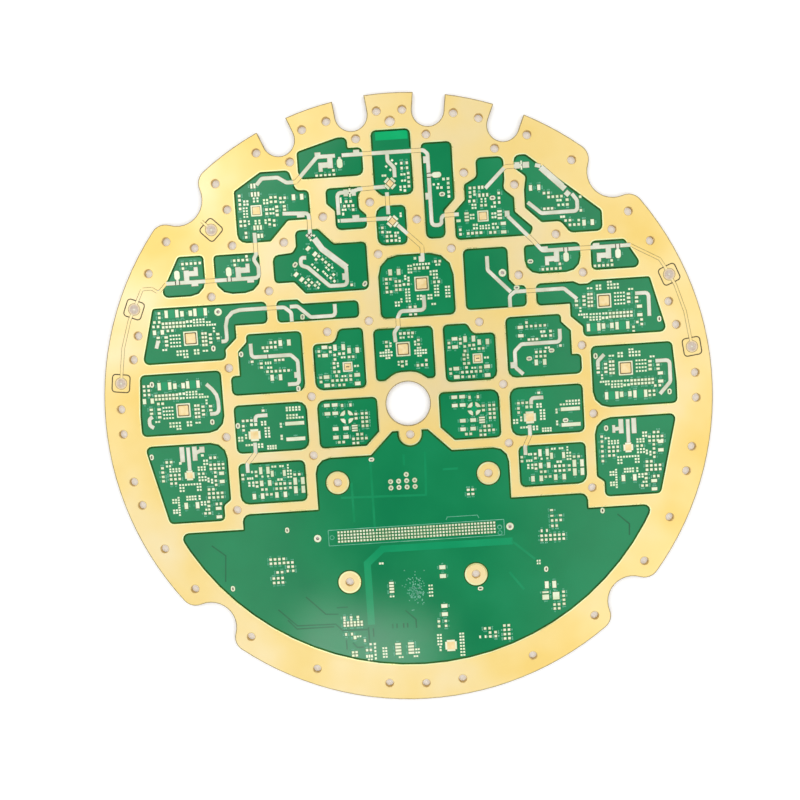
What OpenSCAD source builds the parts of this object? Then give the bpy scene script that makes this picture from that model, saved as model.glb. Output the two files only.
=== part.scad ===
// Bare round circuit board for a radio-frequency unit, 240 mm across.
// Millimetres. The origin is on the centre hole's axis, at the underside. +Z is the front,
// +Y points to the edge with the four U-notches.

/* [Board] */
// diameter over the round rim
board_d = 240; // [200:1:290]
// thickness of the glass-fibre laminate
laminate_t = 1.6; // [1.3:0.1:2]
// thickness of the plated copper on each face
copper_t = 0.07; // [0.05:0.005:0.1]
// how far the green mask film stands above the copper
mask_rise = 0.03; // [0.02:0.005:0.05]
// bare laminate left between the copper and the routed edge
edge_clear = 0.3; // [0.2:0.05:0.5]
// breadth of the plain copper rim below the large lower compartment
lower_rim_w = 14.4; // [12:0.1:17.2]

/* [Edge cut-outs] */
// width of each U-notch
u_notch_w = 12.4; // [10:0.1:15]
// depth of each U-notch in from the rim
u_notch_depth = 12.6; // [10:0.1:15]
// radius of each corner scallop
scallop_r = 10; // [8:0.1:12]
// radius that rounds a scallop into the rim
scallop_fillet_r = 6; // [4.5:0.1:7.2]

/* [Holes] */
// diameter of the big centre hole
centre_hole_d = 17.4; // [14:0.1:21]
// diameter of the screw holes in rim and ribs
screw_hole_d = 3.2; // [2.6:0.1:3.9]
// bare laminate that the copper leaves round each unplated screw hole
hole_clear = 0.2; // [0.17:0.01:0.24]
// diameter of the one larger locating hole
locating_hole_d = 3.8; // [3.1:0.1:4.6]
// bore of the plated header holes
header_hole_d = 0.9; // [0.7:0.05:1.1]
// diameter of the small ringed holes
ringed_hole_d = 1.4; // [1.1:0.1:1.7]

/* [Lands] */
// diameter of the four standoff lands
standoff_land_d = 9; // [7.4:0.1:10.8]
// land round each plated header hole
header_land_d = 1.9; // [1.5:0.05:2.2]
// pad pitch of the long connector
connector_pitch = 1.27; // [1.05:0.01:1.52]
// size of a long-connector pad
connector_pad = 0.76; // [0.62:0.02:0.92]
// side of the square coax launch lands
launch_land = 6.6; // [5.4:0.1:7.8]
// diameter of the round pad inside a launch land
launch_pad_d = 4.4; // [3.6:0.1:5]

/* [Radio-frequency lines] */
// width of a line
line_w = 1.4; // [1.15:0.05:1.68]
// width of the thin line along the rim
thin_line_w = 0.9; // [0.75:0.05:1.1]
// bare gap on each side of a line where it crosses copper
line_gap = 0.2; // [0.16:0.01:0.24]

/* [Hidden] */

board_r = board_d / 2;
// all spots and outlines below are laid out for a 240 mm board and grow with it
grow = board_d / 240;
copper_z = copper_t + laminate_t;
mask_t = copper_t + mask_rise;
over = 0.5;
round_steps = 30;
rim_hole_r = board_r * 0.946;
header_wall = 0.05;
header_back_gap = 0.5;
ringed_land_d = 2.9;
mask_clear = 0.1;
connector_columns = 50;
connector_rows = 4;
connector_y = -51.55;

laminate_colour = "#B9AE83";
ground_colour = "#F7DC8E";
back_colour = "#EBCB78";
mask_colour = "#1F8B59";
bright_mask_colour = "#16A56B";
line_colour = "#DAD3C2";
pad_colour = "#FFF6D6";
paddle_colour = "#F9DEB0";

// Plain geometry helpers

// unit vector from one point to another
function toward(a, b) = (b - a) / norm(b - a);

// points that round the corner b between a and c
function corner(a, b, c, r) =
  let (
    u = toward(b, a),
    v = toward(b, c),
    half = acos(max(-1, min(1, u * v))) / 2,
    turn = 180 - 2 * half
  )
  (r == undef || r == 0 || turn < 4) ? [b] :
  let (
    reach = min(r / tan(half), 0.49 * min(norm(a - b), norm(c - b))),
    rr = reach * tan(half),
    middle = b + toward([0, 0], u + v) * rr / sin(half),
    start = b + u * reach - middle,
    from = atan2(start[1], start[0]),
    side = -sign(cross(u, v)),
    steps = ceil(turn / round_steps)
  )
  [for (i = [0 : steps]) let (a = from + side * turn * i / steps) middle + rr * [cos(a), sin(a)]];

// a closed outline given as [x, y, corner radius]
function flat(p) = [p[0], p[1]];
function softened(p) =
  let (n = len(p))
  [for (i = [0 : n - 1]) each corner(flat(p[(i + n - 1) % n]), flat(p[i]), flat(p[(i + 1) % n]), p[i][2])];

// an open path with its bends rounded
function bent(p, r) =
  let (last = len(p) - 1)
  concat([p[0]], [for (i = [1 : 1 : last - 1]) each corner(p[i - 1], p[i], p[i + 1], r)], [p[last]]);

// sideways step at point i of a path, mitred at the bends
function across(p, i) =
  let (
    before = i > 0 ? toward(p[i - 1], p[i]) : toward(p[0], p[1]),
    after = i < len(p) - 1 ? toward(p[i], p[i + 1]) : before,
    mean = toward([0, 0], before + after)
  )
  [-mean[1], mean[0]] / (mean * before);

// the outline of a strip of width w along a path
function strip(p, w) =
  let (n = len(p) - 1, half = w / 2)
  concat([for (i = [0 : n]) p[i] + across(p, i) * half], [for (i = [n : -1 : 0]) p[i] - across(p, i) * half]);

function mirrored(points) = [for (p = points) [-p[0], p[1]]];
function mirrored_outline(points) = [for (p = points) [-p[0], p[1], p[2]]];
function both_sides(points) = concat(points, mirrored(points));
function on_rim(angle, r) = r * [cos(angle), sin(angle)];

// Board outline

u_notch_angles = [67.5, 82.5, 97.5, 112.5];
scallop_angles = [45, 135, 225, 315];

module u_notch(clear) {
  middle = board_r - u_notch_depth + u_notch_w / 2;
  translate([middle, 0]) circle(d = u_notch_w + 2 * clear);
  translate([middle, -u_notch_w / 2 - clear]) square([u_notch_depth, u_notch_w + 2 * clear]);
}

module scallop(clear) {
  big = scallop_r + clear;
  small = scallop_fillet_r - clear;
  span = scallop_r + scallop_fillet_r;
  fillet_at = board_r - scallop_fillet_r;
  swing = acos((fillet_at * fillet_at + board_r * board_r - span * span) / (2 * fillet_at * board_r));
  fillet_middle = on_rim(swing, fillet_at);
  to_fillet = atan2(fillet_middle[1], fillet_middle[0] - board_r);
  steps = 6;
  upper_fillet = [
    for (i = [0 : steps])
      let (a = swing + (to_fillet - 180 - swing) * i / steps)
      fillet_middle + small * [cos(a), sin(a)]
  ];
  bowl = [
    for (i = [1 : 2 * steps - 1])
      let (a = to_fillet + (360 - 2 * to_fillet) * i / (2 * steps))
      [board_r, 0] + big * [cos(a), sin(a)]
  ];
  lower_fillet = [for (i = [steps : -1 : 0]) [upper_fillet[i][0], -upper_fillet[i][1]]];
  beyond = board_r + scallop_r;
  polygon(concat([on_rim(swing, beyond)], upper_fillet, bowl, lower_fillet, [on_rim(-swing, beyond)]));
}

module board_outline(clear) {
  difference() {
    circle(r = board_r - clear);
    for (a = u_notch_angles) rotate(a) u_notch(clear);
    for (a = scallop_angles) rotate(a) scallop(clear);
    circle(d = centre_hole_d + 2 * clear);
  }
}

// Drilled holes, as spots on the 240 mm layout

rim_hole_angles = concat(
  [for (a = [2.5, 12.5, 17.5, 27.5, 37.5, 52.5, 59.7, 87.5]) each [90 - a, 90 + a]],
  [for (a = [2.5, 12.3, 17.3, 27.2, 37.4, 52.4, 67.4, 82.5]) each [-a, a - 180]],
  [-90]
);

inner_screw_spots = concat(
  both_sides([
    [13.6, 103.5], [39.7, 96.4], [106.8, 24.2], [104.2, 33.4], [29.9, 30.2], [69.6, 18.5],
    [37.9, 5.2], [72.8, -8.7], [38.8, -18.2], [70.8, -38.1]
  ]),
  [
    [-65.4, 79.9], [-79.3, 66], [-64.5, 66], [-44.3, 65.9], [-28.4, 74.7], [-9.8, 79.1],
    [-74.2, 46.7], [-51.5, 47.5], [-7.9, 59], [-13.3, 33.4], [8, 71.4], [27.3, 88],
    [46.6, 82.2], [61.6, 62.2], [83.4, 62.6], [20.7, 59.4], [46.3, 47.4], [71.4, 46.8],
    [0, -12.3]
  ]
);
locating_spot = [0, 109.3];
standoff_spots = [[-30, -29.7], [30, -29.7], [-28, -70.1], [22.7, -70.1]];
ringed_spots = [[-72, 40.7], [40, 48.6], [-39.6, -51.6], [37.3, -51.6]];
header_first = [-9, -33.14];
header_pitch = [3.2, 2.54];
header_spots = concat(
  [for (i = [0 : 3]) for (j = [0 : 1]) header_first + [i * header_pitch[0], j * header_pitch[1]]],
  [[-2.6, -28.1]]
);

module drilled(spots, d) {
  for (p = spots) translate(p * grow) circle(d = d);
}

module screw_holes(clear) {
  for (a = rim_hole_angles) translate(on_rim(a, rim_hole_r)) circle(d = screw_hole_d + 2 * clear);
  drilled(inner_screw_spots, screw_hole_d + 2 * clear);
  drilled([locating_spot], locating_hole_d + 2 * clear);
}

module all_holes() {
  screw_holes(0);
  drilled(standoff_spots, screw_hole_d);
  drilled(ringed_spots, ringed_hole_d);
  drilled(header_spots, header_hole_d + 2 * header_wall);
  ovals(slot_w);
}

// Compartments of the green mask, as outlines of [x, y, corner radius]

// left-hand compartments that come again on the right as a mirror image
mirrored_cells = [
  [[-61.9, 31.3, 1.5], [-61.9, 28.2, 0.8], [-65.5, 24.6, 0.6], [-65.5, 15.3, 0], [-69.1, 15.3, 2],
   [-69.1, 7.4, 2.2], [-40, 7.4, 3.2], [-40, 31.3, 2]],
  [[-106, -6.6, 2], [-106, 2, 3], [-104.8, 17.9, 2], [-72.8, 17.9, 2], [-72.8, -6.6, 6.5]],
  [[-69, -15.7, 2.2], [-40, -15.7, 3.5], [-40, 3.6, 3.5], [-69, 3.6, 2]],
  [[-36, -15.7, 2], [-17.5, -15.7, 0.8], [-12.1, -10.3, 0.6], [-12.1, 3.6, 2], [-36, 3.6, 3.3]],
  [[-105.4, -10.5, 2.2], [-72.8, -10.5, 6.5], [-72.8, -33.8, 1.2], [-75.7, -36, 1.2], [-75.7, -42.1, 2],
   [-97.9, -42.1, 2]],
  [[-69, -36.2, 3.5], [-42.3, -36.2, 2.2], [-42.3, -19.6, 2.2], [-69, -19.6, 2]]
];

left_cells = [
  [[-62.2, 86.6, 1.2], [-51.5, 93.3, 1.2], [-40.4, 93.3, 2], [-38, 85.4, 2.2], [-33.1, 85.4, 1.8],
   [-33.1, 74.1, 0.8], [-42, 74.1, 1.5], [-49.3, 66.5, 1], [-62.2, 66.5, 3.5]],
  [[-36.8, 92, 1.5], [-36.8, 100, 1.5], [-21, 104.4, 3], [-17, 104.4, 2.5], [-17, 100.2, 0.6],
   [-11.4, 100.2, 1.8], [-11.4, 89.4, 2.5], [-35.3, 89.4, 1]],
  [[-26.7, 85.4, 1.8], [-11.6, 85.4, 0.8], [-14.1, 81.8, 2], [-14.1, 77, 2], [-11.4, 74.4, 1],
   [-11.4, 69.1, 1.8], [-23.6, 69.1, 2.2], [-23.6, 76.6, 1], [-26.7, 79.4, 1]],
  [[-86, 63, 1.5], [-76, 63, 1.5], [-76, 47.4, 6], [-94.5, 47.4, 2.2]],
  [[-72.2, 62.7, 1.5], [-54.2, 62.7, 2], [-54.2, 47.3, 6.5], [-72.2, 47.3, 6.5]],
  [[-39.7, 70.2, 2], [-30.6, 70.2, 1.2], [-24.8, 64.2, 1.2], [-12.2, 64.2, 1.8], [-12.2, 45.5, 2.2],
   [-37.2, 45.5, 1], [-41.3, 50.2, 1.2], [-49.1, 50.2, 1.8], [-49.1, 61.1, 2.5], [-41.2, 61.7, 1.5],
   [-39.7, 64, 1]],
  [[-97.6, 43.6, 1.2], [-52.8, 43.6, 2], [-52.8, 34.9, 2], [-65.6, 34.9, 0], [-65.6, 30, 0.8],
   [-70.2, 25.8, 0.8], [-70.2, 21.7, 2], [-103.4, 21.7, 2.2]],
  [[-49, 34.9, 1.6], [-16.8, 34.9, 1.8], [-16.8, 41.8, 1.8], [-38.8, 41.8, 0.8], [-40.6, 43.6, 1],
   [-49, 43.6, 1.8]],
  [[-36, 7.3, 3.2], [-15.8, 7.3, 2.2], [-15.8, 31.1, 1.8], [-25.3, 31.1, 2.2], [-27.4, 25.7, 3],
   [-36, 25.7, 1.8]]
];

middle_cells = [
  [[-7.8, 106.2, 2], [7.5, 106.2, 2], [7.5, 81, 2.5], [-4.8, 81, 2], [-7.8, 83.8, 1]],
  [[-7.8, 77.3, 3.5], [4, 77.3, 2], [4, 62, 2.2], [-7.8, 62, 3]],
  [[-8.5, 58.2, 8], [21, 58.2, 9], [21, 33.7, 2.2], [-8.5, 33.7, 2.2]],
  [[-12, 9.4, 1.6], [-8.4, 9.4, 1.5], [-4, 12.5, 7], [4, 12.5, 7], [8.4, 9.4, 1.5], [11.6, 9.4, 1.6],
   [11.6, 30, 2], [-12, 30, 2]]
];

right_cells = [
  [[11.2, 63.5, 2.2], [18.9, 63.5, 2.2], [18.9, 74, 1.2], [23.2, 78.2, 1.5], [23.2, 100.3, 2],
   [11.2, 100.3, 1.8]],
  [[22.6, 62.3, 2], [22.6, 73.2, 0.6], [27, 77.6, 1], [27, 83.4, 1.2], [32, 86, 2], [32, 93.3, 2],
   [42.8, 93.3, 2.2], [42.8, 84.4, 1], [42.2, 80.8, 2], [46.2, 77.3, 1.2], [46.2, 71.8, 1],
   [53, 65.4, 1.4], [51.6, 62.3, 1.8]],
  [[46.7, 88.4, 0.8], [46.7, 93.4, 2.5], [51.4, 93.4, 2], [79.8, 70.2, 2], [79.8, 62.3, 2.2],
   [67.2, 62.3, 2.5], [63.6, 67, 2.5], [56.3, 67, 1.2], [50.1, 73, 1], [50.1, 79.8, 2], [51, 84.9, 1.5]],
  [[25, 35, 1.8], [48.9, 35, 1.8], [48.9, 43.4, 1.8], [44.8, 43.4, 1], [42.5, 46, 1], [42.5, 58.7, 2],
   [25, 58.7, 2]],
  [[48.8, 58.7, 1.5], [70.7, 58.7, 2], [70.7, 47.3, 7], [48.8, 47.3, 7]],
  [[74.7, 58.7, 2], [88, 58.7, 1.5], [95, 47.3, 2.2], [74.7, 47.3, 2]],
  [[97.2, 43.6, 1.2], [75, 43.6, 1], [73, 42.4, 1.2], [69.8, 42.4, 1.2], [67.3, 43.6, 1], [52.6, 43.6, 2],
   [52.6, 34.9, 2], [65.6, 34.9, 0], [65.6, 30, 0.8], [70.2, 25.8, 0.8], [70.2, 21.7, 2],
   [103.2, 21.7, 2.2]],
  [[35.8, 7.3, 3.2], [15.4, 7.3, 2.2], [15.4, 30, 1.8], [25, 30, 2.2], [27.2, 25.8, 2.5],
   [35.8, 25.8, 1.8]]
];

// half of the stepped top edge of the large lower compartment, from the tab out to the rim
lower_step = [
  [-4.5, -10.6, 0], [-7.1, -10.6, 0.5], [-16.1, -19.5, 0.6], [-38.5, -19.5, 6], [-38.5, -40, 0],
  [-68.9, -40, 3.2], [-68.9, -46.1, 0], [-95, -46.1, 3]
];
lower_arc_r = board_r / grow - lower_rim_w;
lower_arc_half = 59.5;
lower_arc_steps = 24;
lower_cell = concat(
  lower_step,
  [
    for (i = [0 : lower_arc_steps])
      let (a = -90 + lower_arc_half * (2 * i / lower_arc_steps - 1))
      concat(on_rim(a, lower_arc_r), [0])
  ],
  [for (i = [len(lower_step) - 1 : -1 : 0]) [-lower_step[i][0], lower_step[i][1], lower_step[i][2]]]
);
tab_r = 4.5;
tab_y = -12.1;

module cells() {
  scale(grow) {
    for (c = mirrored_cells) {
      polygon(softened(c));
      polygon(softened(mirrored_outline(c)));
    }
    for (c = concat(left_cells, middle_cells, right_cells)) polygon(softened(c));
    difference() {
      polygon(softened(lower_cell));
      translate([0, tab_y]) circle(r = tab_r);
      translate([-tab_r, tab_y]) square([2 * tab_r, tab_r]);
    }
  }
}

// Radio-frequency lines, as open paths over the compartments and the ribs

wide_paths = [
  [[-53.2, 88.4], [-51, 90.8], [-44.8, 90.8], [-41.5, 88.6], [-37.9, 88.6], [-30.2, 96.4], [-29, 97.6],
   [-22, 97.6]],
  [[-19.6, 97.6], [12.2, 97.5], [13.7, 96], [13.7, 68.6], [17.6, 68.6], [17.6, 72.2], [24.4, 72.2]],
  [[-43.9, 76.9], [-33.8, 76.4], [-33.8, 67.6]],
  [[-55.4, 70.3], [-55.4, 61.8], [-56.6, 60.2], [-54.9, 57.2], [-54.9, 52.9], [-91.5, 52.9]],
  [[-20.7, 54.8], [-20.7, 47.9], [-27.6, 47.9], [-35.6, 55.6], [-38.4, 56.6], [-38, 59.6], [-36, 59.4]],
  [[-3.4, 84.6], [-14, 84.3], [-16.5, 83.4], [-22.2, 83.4], [-22.2, 75]],
  [[-21.6, 72.7], [-3, 72.4]],
  [[-2.9, 82.4], [-2.9, 74]],
  [[8.8, 42], [8.8, 36.3], [-0.6, 36.3], [-1.9, 34], [-1.9, 30.4], [-3.6, 28.2], [-3.4, 24.4]],
  [[0.4, 69.6], [9.3, 60.8], [9.3, 55.4]],
  [[34.3, 55.4], [34.3, 50], [42.8, 41]],
  [[42.3, 35.1], [42.3, 39.4], [44.4, 41], [63.6, 41], [68.5, 36.6]],
  [[-50, 40.9], [-46, 40.8], [-43.4, 38.6], [-43.4, 35.1]],
  [[-43.8, 40.9], [-40.8, 40.9], [-35.9, 36.3], [-26.2, 36.3], [-26.2, 40.8]],
  [[-60.3, 27.5], [-60.3, 22.1], [-44.8, 22.1], [-42.3, 19.6], [-42.3, 10.6], [-46.8, 10.6]],
  [[61.1, 25.4], [61.1, 20.4], [45.8, 20.4], [43.1, 17.8], [43.1, 11.4], [46, 8.6]],
  [[78, 14.3], [75.4, 11.8], [75.4, 9.6]],
  [[98, 10.5], [103.5, 10.5], [103.5, 2], [99.2, -2.6]],
  [[91.2, 37.3], [96.4, 37.3], [96.4, 28.2]],
  [[35.2, 81.4], [43.3, 89.1], [51.8, 89.1]],
  [[43.3, 70.2], [52.6, 60.2], [56, 56.1], [90.3, 56.1]],
  [[68.5, 77.2], [70.4, 74.6], [70.4, 70.5], [56.4, 70.5], [51.3, 75]],
  [[54.9, 89], [57, 88.4]],
  [[-61.6, -11.6], [-61.6, -15.6], [-65.3, -19.9], [-65.3, -23.4]],
  [[47.3, -11.6], [47.3, -15.6], [45.1, -19.9], [45.1, -23.4]],
  [[-1.9, 97], [-1.9, 94.3], [0.5, 91.6], [0.5, 87.9]],
  [[-55.8, -1], [-60.7, -1], [-60.7, -3.5]],
  [[53.3, -1], [48.4, -1], [48.4, -3.5]],
  [[-96.4, 31], [-97.4, 28]],
  [[-101.2, 1.2], [-102.6, 0.4], [-102.6, -2.2], [-101, -3.2]],
  [[-88.3, -11.8], [-88.3, -21]],
  [[86, -11.8], [86, -21]],
  [[-85.8, -14.4], [-82.6, -13]],
  [[83.3, -15.2], [80.2, -15.4]]
];
sweeping_paths = [
  [[-71.6, 29.1], [-69.4, 29.1], [-69.4, 40.9], [-49.9, 40.9]],
  [[-79, 12.8], [-74.8, 8.6], [-74.8, 0.9], [-78.4, 0.9]]
];
broad_paths = [
  [[-32.3, 66.6], [-29.6, 62.4], [-20.4, 54.6]],
  [[57, 88], [66, 79.2]]
];

// blocks that widen a line: [x, y, width, height, turn]
line_blocks = [
  [-36.9, 75.8, 2.9, 1.5, 0], [-28.7, 98.6, 2.2, 1.3, 0], [-13.7, 98.7, 2.3, 1.2, 0],
  [12.5, 93.8, 1.2, 2.5, 0], [12.5, 79.9, 1.2, 2.5, 0], [48, 89.3, 1.9, 2.4, 0],
  [51.4, 89.3, 2.4, 2.2, 0], [-18.9, 83.2, 1.6, 2.5, 0], [-15.8, 83.2, 1.6, 2.5, 0],
  [-15.6, 73.7, 2.6, 1.6, 0], [-21.7, 51.2, 1.4, 2.5, 0], [-43.1, 14.1, 1.8, 2.2, 0],
  [42.1, 12.4, 1.9, 2.3, 0], [-34.2, 67.9, 2, 2, 45], [-80.2, 52, 2.6, 1.4, 0],
  [-58.3, 52, 2.6, 1.4, 0], [56.7, 57, 2.8, 1.3, 0], [76.9, 57, 2.6, 1.3, 0],
  [-90.8, -14.5, 1.8, 6, 0], [-85.8, -14.4, 1.8, 5.6, 0], [83.3, -14.4, 1.8, 5.6, 0],
  [88.4, -14.5, 1.8, 6, 0], [-82.8, -13, 1.9, 2.3, 0], [80.4, -15.3, 1.1, 3, 0],
  [8.8, 56, 2, 2.2, 0], [43.1, 71.2, 1.8, 2.2, 0], [66.8, 77.4, 1.9, 2, -45]
];

// on every amplifier line: the stem of the land, then the matching stub beside it
stub_blocks = [[0, 1, 0.9, 0.8, 0], [3.7, 2.6, 2, 4, 0], [6, 3.3, 4.4, 2, 0], [7.5, 4, 1.5, 3.4, 0]];
side_stub = [0, 1, 0.9, 0.8, 0];
rim_paths = [
  [[-91.4, 52.9], [-94.6, 49.6], [-97.2, 51.4], [-101, 51.4], [-104.6, 44.3]],
  [[-105.5, 42.4], [-107, 39.6], [-110.4, 29], [-112.3, 16.5]],
  [[-75.6, 76.1], [-73, 73.5]],
  [[90.2, 56.1], [101.4, 49.9], [104.6, 44.3]],
  [[105.5, 42.4], [107, 39.6], [110.4, 29], [112.3, 16.5]]
];
bend_r = 1.4;
sweep_r = 8;
broad_factor = 1.65;

module paths(list, w, r) {
  scale(grow) for (p = list) polygon(strip(bent(p, r), w));
}

module block(b, margin) {
  translate([b[0], b[1]]) rotate(b[4]) square([b[2] + 2 * margin, b[3] + 2 * margin], center = true);
}

module all_lines(margin) {
  paths(wide_paths, line_w + 2 * margin, bend_r);
  paths(sweeping_paths, line_w + 2 * margin, sweep_r);
  paths(broad_paths, broad_factor * line_w + 2 * margin, 0);
  scale(grow) {
    for (b = line_blocks) block(b, margin);
    for (p = amplifier_places) translate([p[0], p[1]]) rotate(p[2]) for (b = stub_blocks) block(b, margin);
    translate([side_amplifier[0], side_amplifier[1]]) rotate(side_amplifier[2]) block(side_stub, margin);
  }
}

module rim_lines(margin) {
  paths(rim_paths, thin_line_w + 2 * margin, bend_r);
}

// Coax launch lands: a rounded square of copper set off by a gap, with a round pad

launch_spots = [
  [[-72.1, 72.5], 135], [[-104.8, 43.8], 67.5], [[-112.5, 15.2], 82.5],
  [[104.8, 43.8], 112.5], [[112.5, 15.2], 97.5]
];

launch_corner_r = 1.1;
launch_gap = 0.35;

module rounded_square(side, r) {
  h = side / 2;
  polygon(softened([[-h, -h, r], [h, -h, r], [h, h, r], [-h, h, r]]));
}

module at_launches() {
  for (l = launch_spots) translate(l[0] * grow) rotate(l[1] - 90) children();
}

module launch_gaps() {
  at_launches() rounded_square(launch_land + 2 * launch_gap, launch_corner_r + launch_gap);
}

// Chip paddles

// the larger chips: a square paddle inside a square ring
ringed_chips = [[-83.6, 31.1], [-88.8, 3], [79, 35.2], [86.2, 8.4], [8.3, 46.5], [-0.6, 21.5]];
ring_side = 5.5;
ring_gap = 0.4;
paddle_side = 3.8;
paddle_corner_r = 0.4;

// chips with a plain square paddle: [x, y, side]
square_chips = [[-54, 78.7, 4.2], [33.7, 70.9, 4.2], [-22.8, 16, 3.8], [28.4, 16, 3.8]];

// chips whose paddle has an ear on each side: [x, y, bar width, overall, turn]
eared_chips = [
  [-61.5, -8.6, 3.1, 4.7, 0], [47.6, -8.6, 3.1, 4.7, 0], [-88.5, -23, 2.4, 3.8, 0],
  [85.8, -23, 2.4, 3.8, 0], [10.9, -98.6, 3.2, 4.6, 0], [-1.5, 85.7, 2.2, 4.4, 45],
  [-1.5, 71.2, 2.2, 4.4, 45]
];

module ear_cross(c, margin) {
  translate([c[0], c[1]]) rotate(c[4]) for (turn = [0, 90])
    rotate(turn) square([c[2] + 2 * margin, c[3] + 2 * margin], center = true);
}

module paddles() {
  scale(grow) {
    for (c = ringed_chips) translate(c) {
      difference() {
        rounded_square(ring_side, paddle_corner_r);
        rounded_square(paddle_side + 2 * ring_gap, paddle_corner_r);
      }
      rounded_square(paddle_side, paddle_corner_r);
    }
    for (c = square_chips) translate([c[0], c[1]]) rounded_square(c[2], paddle_corner_r);
    for (c = eared_chips) ear_cross(c, 0);
  }
}

module paddle_openings(margin) {
  scale(grow) {
    for (c = ringed_chips) translate(c) rounded_square(ring_side + 2 * margin, paddle_corner_r);
    for (c = square_chips) translate([c[0], c[1]]) rounded_square(c[2] + 2 * margin, paddle_corner_r);
    for (c = eared_chips) ear_cross(c, margin);
  }
}

// Component pads. A group is [x, y, columns, rows, column pitch, row pitch, pad width, pad height],
// with x, y the middle of its lower left pad; an optional ninth value turns the whole group.

// frequency converter circuit, placed four times, measured from the middle of its chip
converter_pads = [
  [-12.7, -0.5, 1, 2, 0, 1.55, 1.25, 0.85],
  [-9.6, -2.1, 1, 3, 0, 1.55, 1.3, 0.9], [7.8, -2.1, 1, 3, 0, 1.55, 1.2, 0.85],
  [10.8, -0.6, 1, 2, 0, 1.6, 1.25, 0.85], [-10.4, 5, 7, 2, 1.38, 1.4, 0.95, 0.9],
  [4.8, -2.9, 2, 4, 1.2, 1.5, 0.9, 0.9]
];
converter_places = [[-83.6, 31.1, 0], [-88.8, 3, 0], [79, 35.2, 180], [86.2, 8.4, 180]];
coil_row_pads = [
  [-8.8, 10, 2, 1, 4.2, 0, 1.25, 2.9], [-2.6, 9.8, 2, 1, 3.3, 0, 1.35, 2.1],
  [2.5, 10, 2, 1, 4.1, 0, 1.25, 2.9]
];
coil_row_places = [[-83.6, 31.1, 0], [-88.8, 3, 0], [79, 35.2, 180], [84.8, 8, 180]];

// line amplifier, placed five times, measured from the line under its land
amplifier_pads = [[2.5, 7.2, 4, 1, 1.68, 0, 0.95, 0.95], [2.6, 5.5, 1, 1, 0, 0, 0.95, 0.95]];
amplifier_places = [
  [-86.9, 52.9, 0], [-66.6, 52.9, 0], [-20.4, 97.6, 180], [65.1, 56.1, 180], [85.3, 56.1, 180]
];

// control circuit, placed twice
control_pads = [
  [-31.4, 21, 1, 2, 0, 3.2, 2.2, 1.3], [-31.4, 9.2, 1, 2, 0, 3.3, 2.2, 1.4],
  [-33.7, 21, 1, 2, 0, 1.7, 1, 0.95], [-33.7, 10.7, 1, 2, 0, 1.7, 1, 0.95],
  [-29.2, 22.3, 1, 2, 0, 1.65, 1, 0.95], [-27.3, 23.8, 2, 1, 3.3, 0, 1.35, 2.3],
  [-21.8, 22.3, 2, 1, 3.2, 0, 1.35, 2.1], [-27.6, 19.2, 1, 2, 0, 1.75, 1, 0.95],
  [-25.7, 21.3, 2, 1, 1.65, 0, 1, 0.95], [-22, 19.8, 2, 1, 1.6, 0, 0.95, 0.9],
  [-28.1, 14.3, 1, 3, 0, 1.7, 1, 0.95], [-26.4, 14.3, 1, 1, 0, 0, 1, 0.95],
  [-27.4, 12.7, 1, 1, 0, 0, 1, 0.95], [-21.9, 12.4, 1, 1, 0, 0, 1.1, 0.95],
  [-29.1, 10.9, 5, 1, 1.8, 0, 1, 0.95], [-29.1, 9.1, 1, 1, 0, 0, 1, 0.95],
  [-26.5, 9, 2, 1, 1.75, 0, 0.95, 0.95], [-19.3, 9.2, 1, 2, 0, 3.4, 2.2, 1.4]
];
control_places = [[0, 0, 0], [51.2, 0, 0]];

// detector circuit, placed twice
detector_pads = [
  [-32.1, -2, 2, 2, 3.1, 3.3, 2.2, 1.3], [-26.1, 0.9, 2, 1, 3.3, 0, 0.9, 1.2],
  [-20.9, -4.5, 1, 2, 0, 1.7, 1.1, 0.9], [-18.4, -7.7, 2, 4, 1.65, 1.65, 1, 0.95],
  [-29.3, -8.2, 2, 1, 4.1, 0, 2.2, 1.4], [-21.7, -9.3, 1, 3, 0, 0.95, 2.2, 0.6],
  [-29.4, -11.6, 2, 1, 4, 0, 2.1, 1.4], [-28.2, -13.6, 2, 1, 1.7, 0, 1, 0.95],
  [-20.8, -10.9, 2, 1, 1.7, 0, 1, 1], [-22.5, -12.6, 4, 1, 1.7, 0, 1, 0.95],
  [-22.5, -14.3, 2, 1, 1.65, 0, 1, 0.9]
];
detector_places = [[0, 0, 0], [50.4, 0, 0]];

// power circuit, placed twice
power_pads = [
  [-65.6, -2.7, 3, 1, 1.65, 0, 1, 0.9], [-65.7, -6.4, 1, 2, 0, 1.65, 1, 0.9],
  [-57.4, 0.9, 1, 1, 0, 0, 1.1, 0.9]
];
power_places = [[0, 0, 0], [109, 0, 0]];
coil_pads = [[-45.3, -11.1, 1, 2, 0, 6.2, 7.5, 1.4]];
coil_places = [[0, 0, 0], [109, -1.3, 0]];

// filter and supply circuits of the lower side compartments, each placed twice
filter_pads = [
  [-96, -24.1, 3, 2, 1.7, 1.6, 0.95, 0.9], [-96, -25.8, 2, 1, 1.75, 0, 0.95, 0.9],
  [-79.9, -20.9, 4, 2, 1.65, 1.6, 1, 0.9], [-78.3, -27.4, 1, 4, 0, 1.66, 0.95, 0.9],
  [-81.3, -29.1, 2, 1, 1.7, 0, 1, 0.95], [-81.4, -32.4, 4, 2, 1.73, 1.65, 1, 0.95],
  [-78.7, -35.1, 2, 1, 1.65, 0, 0.9, 1],
  [-81.9, -35.7, 1, 2, 0, 1.7, 1.1, 0.9], [-83.5, -38.6, 2, 1, 1.7, 0, 1, 0.9],
  [-90.9, -35.1, 2, 1, 4.5, 0, 1.4, 2.5], [-84.8, -22.6, 2, 1, 1.75, 0, 0.9, 0.9]
];
filter_places = [[0, 0, 0], [174.2, 0, 0]];
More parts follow.
